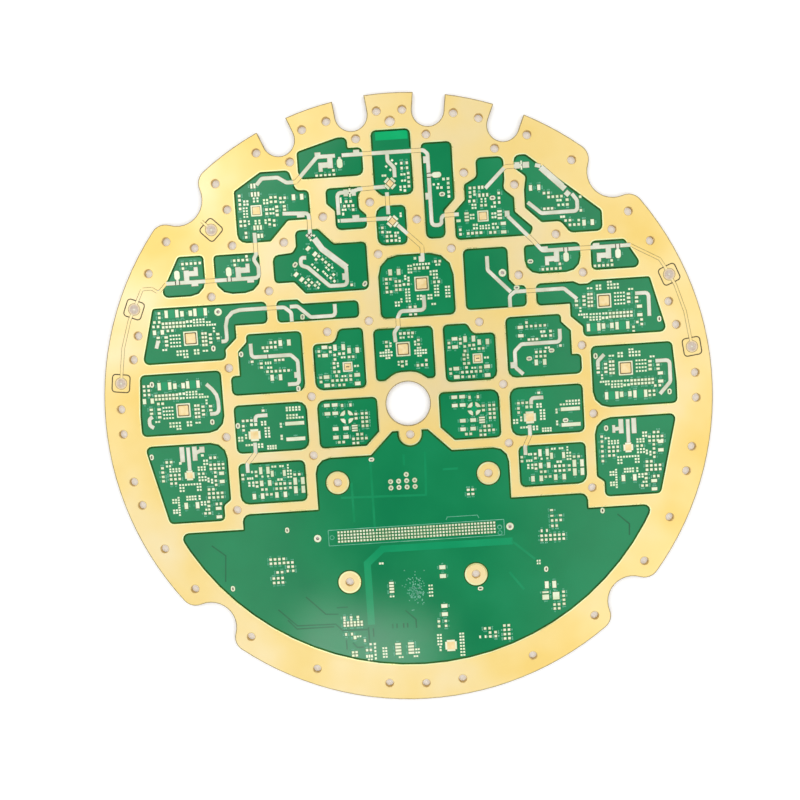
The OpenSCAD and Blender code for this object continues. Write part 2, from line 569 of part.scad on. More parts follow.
supply_pads = [
  [-67.5, -25.8, 1, 2, 0, 1.6, 1.05, 0.9], [-62.1, -24.9, 1, 2, 0, 1.65, 1, 0.9],
  [-60.2, -22.9, 2, 1, 2.9, 0, 1.25, 2.8], [-55.7, -24.4, 2, 1, 4.8, 0, 1.1, 2.4],
  [-46.8, -25.3, 2, 1, 1.8, 0, 1, 0.9], [-46.8, -31.4, 2, 2, 3, 3.45, 1.4, 2.8],
  [-54.4, -28.6, 3, 1, 1.67, 0, 1, 1], [-54.4, -30.5, 3, 1, 1.7, 0, 1, 0.95],
  [-48.9, -30.4, 1, 2, 0, 1.7, 1, 0.9], [-60.2, -28, 2, 1, 3.2, 0, 1.35, 2.2],
  [-62.1, -29.1, 1, 2, 0, 1.6, 1.05, 0.9], [-60.1, -30.5, 2, 1, 1.6, 0, 0.95, 0.95],
  [-58.4, -32.6, 2, 1, 1.75, 0, 1, 0.9], [-63.5, -33.1, 2, 1, 3.3, 0, 1.35, 2.2],
  [-54.5, -33, 2, 1, 3.4, 0, 1.35, 2.2]
];
supply_places = [[0, 0, 0], [111, 0, 0]];

// circuits that come only once, by their place on the board
top_left_pads = [
  [-77.6, 60.1, 1, 1, 0, 0, 0.95, 0.95], [-29.6, 90.4, 1, 1, 0, 0, 0.95, 0.95],
  [-59.2, 61.5, 1, 1, 0, 0, 0.95, 0.95], [-97.2, -17.2, 2, 1, 1.75, 0, 1, 1],
  [-99.1, -24.6, 1, 4, 0, 1.73, 1.1, 0.9], [-79.7, -16.5, 2, 1, 1.75, 0, 1, 1],
  [-75.8, -26.2, 1, 2, 0, 3.3, 1.9, 1.3], [-78.1, -40.3, 1, 2, 0, 3.4, 2.2, 1.2],
  [-60.2, 79.8, 1, 4, 0, 1.65, 0.95, 0.95], [-60.4, 73.3, 2, 2, 1.6, 1.65, 0.95, 0.9],
  [-58.7, 68.8, 1, 2, 0, 1.6, 0.95, 0.95], [-55.2, 88.2, 2, 1, 1.2, 0, 0.75, 1.8],
  [-55.2, 85, 3, 1, 1.25, 0, 0.75, 1.7], [-55.2, 72.2, 3, 1, 1.25, 0, 0.8, 1.7],
  [-53.9, 69, 2, 1, 1.35, 0, 0.9, 1.6], [-48, 81.7, 2, 2, 1.75, 1.7, 1, 0.9],
  [-44.3, 82.9, 2, 1, 1.7, 0, 0.95, 0.95], [-50, 77.3, 1, 2, 0, 1.6, 1.1, 0.95],
  [-46, 76.6, 1, 3, 0, 1.55, 1.15, 0.9], [-43, 78.4, 1, 2, 0, 1.3, 1.15, 0.85],
  [-49.2, 73.2, 1, 2, 0, 1.7, 0.95, 0.9], [-47.4, 72.7, 1, 2, 0, 1.8, 0.95, 0.95],
  [-39.2, 82.9, 2, 1, 3.2, 0, 1.3, 2.2]
];
top_right_pads = [
  [55.8, 48.9, 1, 1, 0, 0, 0.95, 0.95], [76.1, 48.9, 1, 1, 0, 0, 0.95, 0.95],
  [75.5, -27.8, 1, 6, 0, 1.95, 1, 0.9], [96.2, -17.6, 2, 1, 1.6, 0, 0.95, 0.9],
  [98.6, -24.8, 1, 2, 0, 3.4, 2.1, 1.3], [95.4, -40.2, 1, 2, 0, 3.3, 2.2, 1.2],
  [27.4, 69.7, 1, 3, 0, 1.3, 1.6, 0.8], [24.6, 64.5, 1, 2, 0, 1.7, 0.95, 0.95],
  [27.6, 64.6, 4, 1, 1.65, 0, 1, 1], [36.3, 64.4, 2, 1, 1.7, 0, 1, 1],
  [40.2, 69.7, 1, 3, 0, 1.3, 1.7, 0.8], [41.4, 64.3, 1, 2, 0, 3.3, 2, 1.2],
  [38.5, 75.7, 2, 1, 1.8, 0, 0.9, 1], [40.3, 77.4, 1, 2, 0, 1.9, 0.9, 0.95],
  [29.3, 81.9, 2, 1, 1.7, 0, 0.95, 0.95], [32.8, 81.9, 2, 1, 1.3, 0, 0.8, 1.2],
  [29.2, 78.6, 1, 2, 0, 1.6, 0.95, 0.95], [32.8, 78.9, 3, 1, 1.5, 0, 0.8, 1.3],
  [28.8, 76.9, 2, 1, 1.8, 0, 0.9, 1], [33.4, 75, 2, 1, 1.6, 0, 0.95, 0.9],
  [52.7, 80.4, 2, 1, 3.2, 0, 1.2, 2.1], [57.8, 78.1, 2, 1, 1.7, 0, 0.95, 0.95],
  [59.5, 76.5, 4, 1, 1.65, 0, 0.95, 0.95], [66.6, 73.2, 1, 2, 0, 1.8, 1.1, 0.95],
  [57.6, 72.1, 3, 1, 1.5, 0, 0.95, 0.9], [71.7, 70.6, 1, 2, 0, 5.2, 0.95, 0.95],
  [65.6, 67.1, 2, 1, 1.7, 0, 0.95, 0.9], [67.2, 65.3, 3, 1, 1.7, 0, 0.95, 0.95],
  [72.7, 65.8, 2, 1, 3.2, 0, 1.3, 2.2]
];
middle_pads = [
  [5.8, 84.2, 1, 4, 0, 1.65, 0.95, 0.9], [3.4, 91.2, 2, 2, 2.1, 1.9, 0.85, 1],
  [-5.6, 67.3, 1, 2, 0, 1.65, 0.95, 0.95], [-4, 63.8, 3, 2, 1.7, 1.75, 0.95, 0.95],
  [-18.9, 79.9, 2, 1, 1.75, 0, 0.95, 0.95], [-19.7, 78.2, 3, 1, 1.65, 0, 0.95, 0.95],
  [-16.4, 76.6, 1, 1, 0, 0, 0.95, 0.95], [-3.7, 51.6, 2, 1, 3.3, 0, 1.4, 2.3],
  [-5.4, 44.1, 1, 4, 0, 1.65, 1, 0.95], [-3.8, 44.1, 1, 2, 0, 4.9, 0.95, 0.95],
  [-1.7, 44.7, 2, 3, 1.5, 1.65, 0.95, 0.95], [6.1, 52.5, 4, 1, 1.63, 0, 1, 1],
  [1.4, 46.6, 2, 1, 1.7, 0, 0.95, 0.95], [13.3, 46.8, 2, 1, 1.7, 0, 0.95, 0.95],
  [3.2, 37.7, 2, 1, 2, 0, 1.1, 0.9], [3.2, 34.7, 2, 1, 2, 0, 1.1, 0.9],
  [14.2, 54.7, 2, 1, 1.7, 0, 0.95, 0.9], [-7, 23, 1, 2, 0, 1.65, 1, 0.9],
  [-1.3, 27.6, 4, 1, 1.6, 0, 1, 1], [5.6, 23, 1, 2, 0, 1.65, 1, 0.9],
  [-1.3, 14.9, 1, 2, 0, 1.7, 1.05, 0.9], [4.8, 14.8, 3, 1, 1.7, 0, 0.95, 1],
  [8.2, 16.6, 1, 1, 0, 0, 0.95, 0.95]
];
mixer_pads = [
  [-35, 62.9, 1, 1, 0, 0, 1.3, 1.8, -45], [-32.5, 60.6, 1, 1, 0, 0, 1.3, 1.8, -45],
  [-32.2, 58.5, 1, 1, 0, 0, 0.95, 0.95, -45], [-31, 59.7, 2, 1, 1.9, 0, 0.95, 0.95, -45],
  [-28.5, 57.2, 2, 1, 1.6, 0, 0.95, 0.95, -45], [-40.4, 53.2, 2, 1, 2.9, 0, 1.3, 1.8, -45],
  [-35.7, 50.9, 3, 1, 1.7, 0, 0.95, 0.95, -45], [-36.9, 49.8, 2, 1, 1.7, 0, 0.95, 0.95, -45],
  [-25.8, 52.2, 1, 1, 0, 0, 0.95, 0.95, -45], [-27, 51, 2, 1, 1.9, 0, 0.95, 0.95, -45],
  [-19, 47.8, 1, 1, 0, 0, 0.95, 0.95]
];
left_pads = [
  [-95.2, 39.9, 1, 2, 0, 1.7, 0.95, 0.95], [-97.3, 38.2, 2, 1, 1.9, 0, 0.95, 0.95],
  [-97.8, 36.5, 2, 1, 1.8, 0, 0.95, 0.95], [-97.6, 34.2, 2, 1, 3.1, 0, 1.3, 1.8],
  [-92.3, 34.6, 2, 1, 1.8, 0, 0.95, 0.9], [-103.6, 10, 2, 3, 1.75, 1.7, 0.95, 0.95],
  [-103.9, 7.5, 2, 1, 3.1, 0, 1.3, 2], [-98.5, 6.2, 2, 1, 1.7, 0, 1, 0.95],
  [-52.3, 27.4, 2, 1, 1.75, 0, 0.95, 1], [-48.6, 27, 2, 1, 3.4, 0, 1.4, 2.3],
  [-55.5, 25.6, 4, 1, 1.63, 0, 1, 1], [-60.2, 20.4, 1, 1, 0, 0, 1.1, 0.85],
  [-51, 20.4, 3, 1, 1.5, 0, 1, 0.85], [-56.7, 17.9, 1, 2, 0, 1.6, 1.1, 0.85],
  [-54.5, 16.1, 6, 1, 1.68, 0, 0.95, 0.95], [-52.8, 13.6, 2, 1, 3.3, 0, 1.3, 2.3]
];
right_pads = [
  [92.7, 28.9, 1, 2, 0, 3.3, 2, 1.2], [93.3, 25.2, 1, 2, 0, 1.8, 1, 0.9],
  [91.6, 26.1, 1, 1, 0, 0, 0.95, 0.9], [90, 22.6, 1, 2, 0, 1.7, 0.95, 0.9],
  [99.7, 2.4, 1, 2, 0, 3.2, 2, 1.2], [97.5, 0.8, 2, 1, 1.8, 0, 0.95, 0.9],
  [95.2, -2.8, 2, 2, 1.7, 1.6, 0.95, 0.9],
  [45.8, 23.7, 1, 2, 0, 3.3, 2.1, 1.2], [48.3, 28.7, 1, 1, 0, 0, 0.95, 0.95],
  [48.3, 27.2, 5, 1, 1.77, 0, 0.95, 0.9], [57.5, 23.1, 1, 2, 0, 1.7, 1, 0.9],
  [48.9, 22, 3, 1, 1.55, 0, 1, 0.85], [51.5, 15.2, 3, 2, 1.7, 1.75, 0.95, 0.9],
  [51.3, 12.9, 2, 1, 3.3, 0, 1.3, 2.2], [61.1, 18.9, 1, 1, 0, 0, 1, 0.9],
  [54.2, 23.1, 2, 1, 1.3, 0, 0.9, 0.9]
];
lower_pads = [
  [54.2, -48.4, 1, 2, 0, 2.3, 1.2, 0.7], [57.6, -48.4, 1, 1, 0, 0, 1.2, 0.7],
  [49.8, -54.2, 2, 1, 2.1, 0, 0.7, 1.1], [50, -79.2, 1, 1, 0, 0, 2.5, 0.7],
  [-59, -60.6, 4, 2, 1.75, 1.65, 1, 0.95], [-52.1, -62.3, 2, 2, 1.7, 1.7, 1, 0.95],
  [-52.5, -64, 2, 1, 2.2, 0, 0.9, 0.95], [-56.6, -64.3, 2, 1, 1.8, 0, 1, 0.95],
  [-58.3, -68.5, 3, 2, 1.75, 1.8, 1, 0.95], [54.2, -50.3, 3, 1, 1.7, 0, 0.95, 0.95],
  [54.2, -52.5, 2, 1, 1.7, 0, 0.95, 0.95], [49.7, -57.9, 6, 2, 1.75, 1.7, 1, 0.95],
  [50.7, -76.2, 2, 1, 3, 0, 1.5, 2.8], [50, -81.2, 1, 1, 0, 0, 2.6, 2],
  [54.2, -80.9, 1, 1, 0, 0, 2.6, 3], [57.2, -84.4, 1, 4, 0, 1.65, 1.05, 0.9],
  [53.4, -86.1, 2, 2, 1.75, 1.65, 1, 0.95], [9.4, -70, 1, 2, 0, 3.6, 2.4, 1.6],
  [9.2, -85.6, 1, 2, 0, 3.4, 2.4, 1.5], [6.6, -90.4, 2, 2, 2.8, 2, 1, 0.9],
  [25, -92.5, 2, 1, 1.8, 0, 0.9, 0.95], [26.9, -95.9, 2, 2, 2.2, 1.65, 1, 0.95],
  [-31.2, -84.5, 3, 1, 2.7, 0, 1, 0.9],
  [-31, -91.4, 2, 1, 2.4, 0, 0.8, 1.1], [-27.5, -92.9, 1, 1, 0, 0, 1.1, 1.4],
  [-23.6, -94.4, 1, 1, 0, 0, 0.7, 1.2],
  [-10.4, -100.6, 1, 4, 0, 1.3, 2.3, 0.85], [-5.2, -100.6, 1, 4, 0, 1.3, 2.3, 0.85],
  [-11.4, -75.1, 1, 4, 0, 1.2, 1.8, 0.8], [21.6, -37.6, 2, 2, 1.75, 1.75, 1.1, 0.85],
  [-23, -98.4, 2, 1, 1.5, 0, 0.9, 1], [-31.3, -87.8, 6, 2, 1.38, 1.2, 0.9, 0.9]
];

// pads beside the lower copper rim, with y measured up from the lowest spot of its arc
arc_pads = [[32.8, 8.5, 2, 4, 1.75, 1.77, 1, 0.95], [-28.7, 5.3, 2, 2, 1.4, 1.35, 1, 0.9]];

// the rounded land that stands on the line of every amplifier
side_amplifier = [13.7, 87.8, -90];
land_w = 2.1;
land_top = 4.8;
land_bottom = 1.2;

module rounded_land(margin) {
  r = land_w / 2;
  for (y = [land_bottom + r, land_top - r]) translate([0, y]) circle(r = r + margin);
  translate([-r - margin, land_bottom + r]) square([land_w + 2 * margin, land_top - land_bottom - land_w]);
}

module pad_group(g, margin) {
  translate([g[0], g[1]]) rotate(g[8] == undef ? 0 : g[8])
    for (i = [0 : g[2] - 1]) for (j = [0 : g[3] - 1])
      translate([i * g[4], j * g[5]]) square([g[6] + 2 * margin, g[7] + 2 * margin], center = true);
}

module circuit(groups, places, margin) {
  for (p = places) translate([p[0], p[1]]) rotate(p[2]) for (g = groups) pad_group(g, margin);
}

module pads(margin) {
  scale(grow) {
    circuit(converter_pads, converter_places, margin);
    circuit(coil_row_pads, coil_row_places, margin);
    circuit(amplifier_pads, amplifier_places, margin);
    circuit(control_pads, control_places, margin);
    circuit(detector_pads, detector_places, margin);
    circuit(power_pads, power_places, margin);
    circuit(coil_pads, coil_places, margin);
    circuit(filter_pads, filter_places, margin);
    circuit(supply_pads, supply_places, margin);
    for (groups = [
      top_left_pads, top_right_pads, middle_pads, mixer_pads, left_pads, right_pads, lower_pads
    ]) for (g = groups) pad_group(g, margin);
    translate([0, -lower_arc_r]) for (g = arc_pads) pad_group(g, margin);
    for (p = amplifier_places) translate([p[0], p[1]]) rotate(p[2]) rounded_land(margin);
    translate([side_amplifier[0], side_amplifier[1]]) rotate(side_amplifier[2]) rounded_land(margin);
  }
}

// Long connector: rows of small square pads

module connector_field(pad) {
  first = [-(connector_columns - 1) / 2, -(connector_rows - 1) / 2] * connector_pitch;
  translate([0, connector_y * grow])
    for (c = [0 : connector_columns - 1]) for (r = [0 : connector_rows - 1])
      translate(first + [c, r] * connector_pitch) square(pad, center = true);
}

// Small round, oval and quartered lands

// oval lands round a plated slot: [x, y, turn]
upright_ovals = [
  [-75, 26.6], [-64.3, 23.6], [-42.8, 8.7], [-100.4, 13.9], [-77.8, -2.3], [-67.8, -4.5],
  [-103, -14.8], [-39.1, 36.6], [100.2, 26.8], [74.6, 13.9], [103, -1.9], [77.4, -14.8],
  [-75, -69.8], [-51.5, -47.5], [74.4, -47.6], [50.8, -69.8]
];
lying_ovals = [
  [37.8, 77.6], [18.4, 80.3], [51.1, 52.3], [45.2, 42.5], [57.5, 17.2], [48.6, 14.6],
  [61.6, -10.6], [-16, -21.3], [24.1, -76]
];
tilted_ovals = [[-13.8, 47.9], [-40.5, 57]];
oval_w = 1.6;
oval_stretch = 0.6;
slot_w = 0.6;
oval_tilt = -40;

module oval(w) {
  for (y = [-1, 1]) translate([0, y * oval_stretch / 2]) circle(d = w);
  square([w, oval_stretch], center = true);
}

module ovals(w) {
  for (p = upright_ovals) translate(p * grow) oval(w);
  for (p = lying_ovals) translate(p * grow) rotate(90) oval(w);
  for (p = tilted_ovals) translate(p * grow) rotate(oval_tilt) oval(w);
}

quarter_spots = [[-24.55, -3.75], [25.85, -3.75]];
quarter_r = 2.65;
quarter_hub_r = 1.3;
quarter_cut = 1.2;

module quarter_lands(margin) {
  for (p = quarter_spots) translate(p * grow) difference() {
    circle(r = quarter_r + margin);
    circle(r = quarter_hub_r - margin);
    for (turn = [0, 90]) rotate(turn) square([3 * quarter_r, quarter_cut - 2 * margin], center = true);
  }
}

module ring_outline(margin) {
  drilled(ringed_spots, ringed_land_d + 2 * margin);
  ovals(oval_w + 2 * margin);
}

// Brighter fields, where the mask lies on copper instead of on the laminate

bright_blocks = [
  [0, 104, 11, 1.8, 0], [-90.4, 41.1, 2.3, 3.2, 0], [-78.9, 41.1, 2.3, 3.2, 0],
  [-95.5, 13, 2.3, 3.2, 0], [-84.3, 13, 2.3, 3.2, 0], [74.4, 25.2, 2.3, 3.2, 0],
  [85.7, 25.2, 2.3, 3.2, 0], [80.2, -2, 2.3, 3.2, 0], [91.5, -2, 2.3, 3.2, 0]
];
band_path = [[38, -57.5], [-14, -57.5], [-20.5, -63], [-20.5, -88]];
band_w = 2.8;

module bright_fields(margin) {
  scale(grow) {
    for (b = bright_blocks) block(b, margin);
    polygon(strip(band_path, band_w + 2 * margin));
    for (p = quarter_spots) translate(p) circle(r = quarter_hub_r - mask_clear + margin);
  }
}

// Sheets of the board, from the back to the front

module sheet(z, t) {
  translate([0, 0, z]) linear_extrude(t) children();
}

module laminate() {
  color(laminate_colour) sheet(copper_t, laminate_t) difference() {
    board_outline(0);
    all_holes();
  }
}

module ground_plane_back() {
  color(back_colour) sheet(0, copper_t) difference() {
    board_outline(edge_clear);
    screw_holes(hole_clear);
    drilled(standoff_spots, screw_hole_d + 2 * hole_clear);
    drilled(ringed_spots, ringed_hole_d);
    drilled(header_spots, header_land_d + 2 * header_back_gap);
    ovals(slot_w);
  }
}

module ground_copper_front() {
  color(ground_colour) sheet(copper_z, copper_t) difference() {
    board_outline(edge_clear);
    cells();
    screw_holes(hole_clear);
    all_lines(line_gap);
    rim_lines(line_gap);
    launch_gaps();
    ovals(oval_w + 2 * mask_clear);
  }
}

module solder_mask() {
  color(mask_colour) sheet(copper_z, mask_t) difference() {
    cells();
    all_lines(mask_clear);
    rim_lines(mask_clear);
    paddle_openings(mask_clear);
    pads(mask_clear);
    connector_field(connector_pad + 2 * mask_clear);
    drilled(standoff_spots, standoff_land_d + 2 * mask_clear);
    drilled(header_spots, header_land_d + 2 * mask_clear);
    ring_outline(mask_clear);
    quarter_lands(mask_clear);
    bright_fields(0);
  }
}

module rf_lines() {
  color(line_colour) sheet(copper_z, copper_t) difference() {
    union() {
      all_lines(0);
      rim_lines(0);
      at_launches() circle(d = launch_pad_d);
    }
    paddle_openings(mask_clear);
  }
}

module chip_paddles() {
  color(paddle_colour) sheet(copper_z, copper_t) paddles();
}

module component_pads() {
  color(pad_colour) sheet(copper_z, copper_t) difference() {
    pads(0);
    all_lines(0);
    paddle_openings(mask_clear);
  }
}

module connector_pads() {
  color(pad_colour) sheet(copper_z, copper_t) connector_field(connector_pad);
}

module standoff_lands() {
  color(ground_colour) sheet(copper_z, copper_t) difference() {
    drilled(standoff_spots, standoff_land_d);
    drilled(standoff_spots, screw_hole_d + 2 * hole_clear);
  }
}

module header_lands() {
  color(ground_colour) for (p = header_spots) translate(p * grow) difference() {
    union() {
      cylinder(d = header_land_d, h = copper_t);
      cylinder(d = header_hole_d + 2 * header_wall, h = copper_z + copper_t);
      translate([0, 0, copper_z]) cylinder(d = header_land_d, h = copper_t);
    }
    translate([0, 0, -over]) cylinder(d = header_hole_d, h = copper_z + copper_t + 2 * over);
  }
}

module launch_lands() {
  color(ground_colour) sheet(copper_z, copper_t) difference() {
    at_launches() rounded_square(launch_land, launch_corner_r);
    at_launches() circle(d = launch_pad_d + 2 * line_gap);
    rim_lines(line_gap);
  }
}

module ring_and_oval_lands() {
  color(pad_colour) sheet(copper_z, copper_t) difference() {
    union() {
      ring_outline(0);
      quarter_lands(0);
    }
    drilled(ringed_spots, ringed_hole_d);
    ovals(slot_w);
    all_lines(mask_clear);
  }
}

module mask_over_copper() {
  color(bright_mask_colour) sheet(copper_z, mask_t) bright_fields(0);
}

laminate();
ground_plane_back();
ground_copper_front();
solder_mask();
rf_lines();
chip_paddles();
component_pads();
connector_pads();
standoff_lands();
header_lands();
launch_lands();
ring_and_oval_lands();
mask_over_copper();
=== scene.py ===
import math
import random
import bpy
import bmesh
from mathutils import Matrix, Vector
from mathutils.bvhtree import BVHTree


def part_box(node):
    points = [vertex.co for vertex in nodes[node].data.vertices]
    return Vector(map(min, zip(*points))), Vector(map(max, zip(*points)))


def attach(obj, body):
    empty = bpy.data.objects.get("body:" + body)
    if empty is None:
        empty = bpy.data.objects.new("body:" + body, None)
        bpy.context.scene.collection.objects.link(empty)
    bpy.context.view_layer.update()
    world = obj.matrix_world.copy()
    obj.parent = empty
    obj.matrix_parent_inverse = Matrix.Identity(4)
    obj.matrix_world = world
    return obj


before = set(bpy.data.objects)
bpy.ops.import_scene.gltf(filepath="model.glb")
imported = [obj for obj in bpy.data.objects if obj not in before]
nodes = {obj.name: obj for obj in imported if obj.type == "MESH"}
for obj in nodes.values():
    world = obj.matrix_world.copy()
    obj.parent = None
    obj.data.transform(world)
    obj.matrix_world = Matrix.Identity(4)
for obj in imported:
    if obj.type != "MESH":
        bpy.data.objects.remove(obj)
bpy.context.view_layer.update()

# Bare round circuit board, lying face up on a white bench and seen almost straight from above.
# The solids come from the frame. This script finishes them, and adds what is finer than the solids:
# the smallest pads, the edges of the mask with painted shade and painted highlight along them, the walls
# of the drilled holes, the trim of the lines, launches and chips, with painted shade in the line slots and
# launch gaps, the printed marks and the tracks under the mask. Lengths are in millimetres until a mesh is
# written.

MM = 0.001
laminate_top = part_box("laminate")[1][2] / MM
copper_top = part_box("ground_copper_front")[1][2] / MM
mask_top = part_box("solder_mask")[1][2] / MM
skin = 0.004  # how far what lies on a face stands clear of it
pad_rise = 0.008  # how far a fine pad stands above the mask
weld = 1e-7  # metres within which two corners of a solid's mesh are one
strip_weld = 1e-6  # the same for the strips along the mask's edges


# Materials

def linear(hex_code):
    """An sRGB hex colour as linear RGBA."""
    channels = [int(hex_code[i:i + 2], 16) / 255 for i in (1, 3, 5)]
    return [c / 12.92 if c <= 0.04045 else ((c + 0.055) / 1.055) ** 2.4 for c in channels] + [1.0]


def add_node(tree, kind, attributes=None, values=None, links=None):
    """Adds one shader node, sets its attributes and socket values, and links its inputs."""
    node = tree.nodes.new(kind)
    for name, value in (attributes or {}).items():
        setattr(node, name, value)
    for name, value in (values or {}).items():
        node.inputs[name].default_value = value
    for name, output in (links or {}).items():
        tree.links.new(output, node.inputs[name])
    return node


colour_span = (0.33, 0.67)  # noise values at which the first and the last colour are reached
roughness_span = (0.3, 0.7)  # noise values between which the roughness runs
patch_detail = 3.0
grain_detail = 2.0
grain_strength = 0.5


def surface(name, colours, patch_mm, grain_mm, grain_height_mm, roughness, **shader_values):
    """A surface whose colours drift from patch to patch, with patchy roughness and a fine grain."""
    material = bpy.data.materials.new(name)
    material.use_nodes = True
    tree = material.node_tree
    shader = tree.nodes["Principled BSDF"]
    place = add_node(tree, "ShaderNodeTexCoord").outputs["Object"]
    patches = add_node(tree, "ShaderNodeTexNoise", links={"Vector": place},
                       values={"Scale": 1 / (patch_mm * MM), "Detail": patch_detail}).outputs["Fac"]
    grain = add_node(tree, "ShaderNodeTexNoise", links={"Vector": place},
                     values={"Scale": 1 / (grain_mm * MM), "Detail": grain_detail}).outputs["Fac"]
    ramp = add_node(tree, "ShaderNodeValToRGB", links={"Fac": patches})
    steps = ramp.color_ramp.elements
    steps[0].position, steps[1].position = colour_span
    steps[0].color, steps[1].color = linear(colours[0]), linear(colours[-1])
    steps.new(sum(colour_span) / 2).color = linear(colours[1])
    rough = add_node(tree, "ShaderNodeMapRange", links={"Value": patches},
                     values={"From Min": roughness_span[0], "From Max": roughness_span[1],
                             "To Min": roughness[0], "To Max": roughness[1]})
    bump = add_node(tree, "ShaderNodeBump", links={"Height": grain},
                    values={"Strength": grain_strength, "Distance": grain_height_mm * MM})
    tree.links.new(ramp.outputs["Color"], shader.inputs["Base Color"])
    tree.links.new(rough.outputs["Result"], shader.inputs["Roughness"])
    tree.links.new(bump.outputs["Normal"], shader.inputs["Normal"])
    for socket, value in shader_values.items():
        shader.inputs[socket.replace("_", " ")].default_value = value
    return material


# Immersion gold over nickel on copper: a soft satin gleam, warm yellow that drifts a little over the board.
immersion_gold = surface(
    "immersion_gold", ["#FFECBA", "#FEE59E", "#FADC86"], patch_mm=42, grain_mm=0.25,
    grain_height_mm=0.004, roughness=(0.42, 0.52), Metallic=1.0)
# The same plating on the back, one even sheet that has been handled.
back_gold = surface(
    "immersion_gold_back", ["#E9C776", "#F3D88C", "#F8E3A2"], patch_mm=45, grain_mm=0.3,
    grain_height_mm=0.004, roughness=(0.38, 0.52), Metallic=1.0)
# Green liquid solder mask, cured epoxy: a thin gloss that shows the room at a grazing look, slightly cloudy.
green_mask = surface(
    "green_solder_mask", ["#077C4C", "#0A824F", "#0D8754"], patch_mm=30, grain_mm=0.9,
    grain_height_mm=0.003, roughness=(0.12, 0.18), IOR=1.5)
# The same mask where copper lies under it: the metal throws the light back, so the green is brighter.
bright_mask = surface(
    "green_mask_over_copper", ["#08905C", "#0A9660", "#0C9B64"], patch_mm=20, grain_mm=0.9,
    grain_height_mm=0.003, roughness=(0.12, 0.18), IOR=1.5)
# The mask's edge against the copper: thick film in a step, dark olive, partly the film's own colour and
# partly painted shade for the step that no light gets behind.
edge_film_and_shade = surface(
    "edge_film_and_shade", ["#0D470C", "#175410", "#246018"], patch_mm=5, grain_mm=0.4,
    grain_height_mm=0.004, roughness=(0.35, 0.5), IOR=1.5, Specular_IOR_Level=0.2)
# The copper's edge beside the mask: a pale line of painted highlight on the gold, where the edge catches the
# light.
edge_highlight_paint = surface(
    "painted_highlight_on_gold_edge", ["#F8F2A6", "#FBF9BA", "#F8FFC8"], patch_mm=7, grain_mm=0.3,
    grain_height_mm=0.004, roughness=(0.25, 0.4), Metallic=0.7)
# Silvered copper line: pale warm grey metal with a satin surface.
silvered_line = surface(
    "silvered_line", ["#D9DCC4", "#E3E4D0", "#EDECDC"], patch_mm=5, grain_mm=0.2,
    grain_height_mm=0.004, roughness=(0.42, 0.55), Metallic=0.8)
# Gold on small pads, over bright nickel: paler than on the planes, because the coat is thinner.
pale_pad = surface(
    "thin_gold_pad", ["#ECF8D0", "#F3FADA", "#FAFCE2"], patch_mm=6, grain_mm=0.3,
    grain_height_mm=0.004, roughness=(0.34, 0.48), Metallic=0.85)
# Gold on the heat paddles: thicker than on the pads, so it looks warmer.
paddle_gold = surface(
    "paddle_gold", ["#F6DA96", "#FAE1A8", "#FDE9BA"], patch_mm=1.8, grain_mm=0.3,
    grain_height_mm=0.005, roughness=(0.42, 0.55), Metallic=0.9)
# Routed glass-fibre laminate: matt brown resin with paler glass bundles at a millimetre's pitch.
bare_laminate = surface(
    "glass_fibre_laminate", ["#8A7444", "#9A8552", "#AF9C6C"], patch_mm=1.2, grain_mm=0.35,
    grain_height_mm=0.01, roughness=(0.55, 0.75), IOR=1.55)
# Legend ink: a thin epoxy print, so that the green shows through the pale marks.
legend_ink = surface(
    "legend_ink", ["#4FA284", "#6CB69A", "#8CCAB2"], patch_mm=4, grain_mm=0.3,
    grain_height_mm=0.004, roughness=(0.5, 0.65), IOR=1.5)
# Tracks under the mask: the film is thin on the track's shoulders, which draws it as a darker line.
buried_track = surface(
    "track_under_mask", ["#066039", "#08683F", "#0A6E45"], patch_mm=10, grain_mm=0.5,
    grain_height_mm=0.004, roughness=(0.14, 0.2), IOR=1.5)
# Broad tracks under the mask: a shade lighter than the film on the laminate.
buried_copper = surface(
    "copper_under_mask", ["#0A8852", "#0C8D58", "#0E925D"], patch_mm=12, grain_mm=0.5,
    grain_height_mm=0.004, roughness=(0.14, 0.2), IOR=1.5)
# Slot between two blocks of a line: painted shade, a dark sheet standing for bare laminate in the bottom of a
# narrow trench, much darker than the laminate itself.
slot_shade_paint = surface(
    "painted_slot_shade", ["#2C230D", "#3A2F14", "#4A3C1C"], patch_mm=2, grain_mm=0.2,
    grain_height_mm=0.004, roughness=(0.6, 0.8), IOR=1.5)
# Drilled laminate wall: cut resin and glass, pale and dry, which throws light down to the bench.
drilled_wall = surface(
    "drilled_wall", ["#C8A860", "#D4B572", "#E0C68C"], patch_mm=1.5, grain_mm=0.25,
    grain_height_mm=0.01, roughness=(0.6, 0.75), IOR=1.5)
# Plated wall of a small hole: bright tin over copper, which pipes the light through.
plated_wall = surface(
    "plated_wall", ["#E6D2C6", "#EEDDD2", "#F6E8DE"], patch_mm=1.5, grain_mm=0.25,
    grain_height_mm=0.003, roughness=(0.25, 0.35), Metallic=1.0)
# Groove round a paddle: resin over bare laminate, shaded by the plating on both sides.
paddle_groove = surface(
    "paddle_groove", ["#5A4415", "#6E5620", "#82682C"], patch_mm=2, grain_mm=0.2,
    grain_height_mm=0.004, roughness=(0.6, 0.8), IOR=1.5)
# Mask window over a copper block close under the surface: the clearest green on the board.
clear_mask = surface(
    "clear_mask_window", ["#04AC68", "#06B06C", "#08B470"], patch_mm=12, grain_mm=0.9,
    grain_height_mm=0.003, roughness=(0.12, 0.18), IOR=1.5)
# Contact face of a launch: worn silver grey, mottled.
contact_face = surface(
    "launch_contact", ["#C6B4A2", "#D2C3B4", "#E0D2C4"], patch_mm=0.9, grain_mm=0.25,
    grain_height_mm=0.005, roughness=(0.45, 0.6), Metallic=0.75)
# Its rim, where the worn face runs out into the gold.
contact_rim = surface(
    "launch_contact_rim", ["#E2CBA2", "#EBD6B2", "#F1DEBE"], patch_mm=0.9, grain_mm=0.25,
    grain_height_mm=0.005, roughness=(0.45, 0.6), Metallic=0.85)

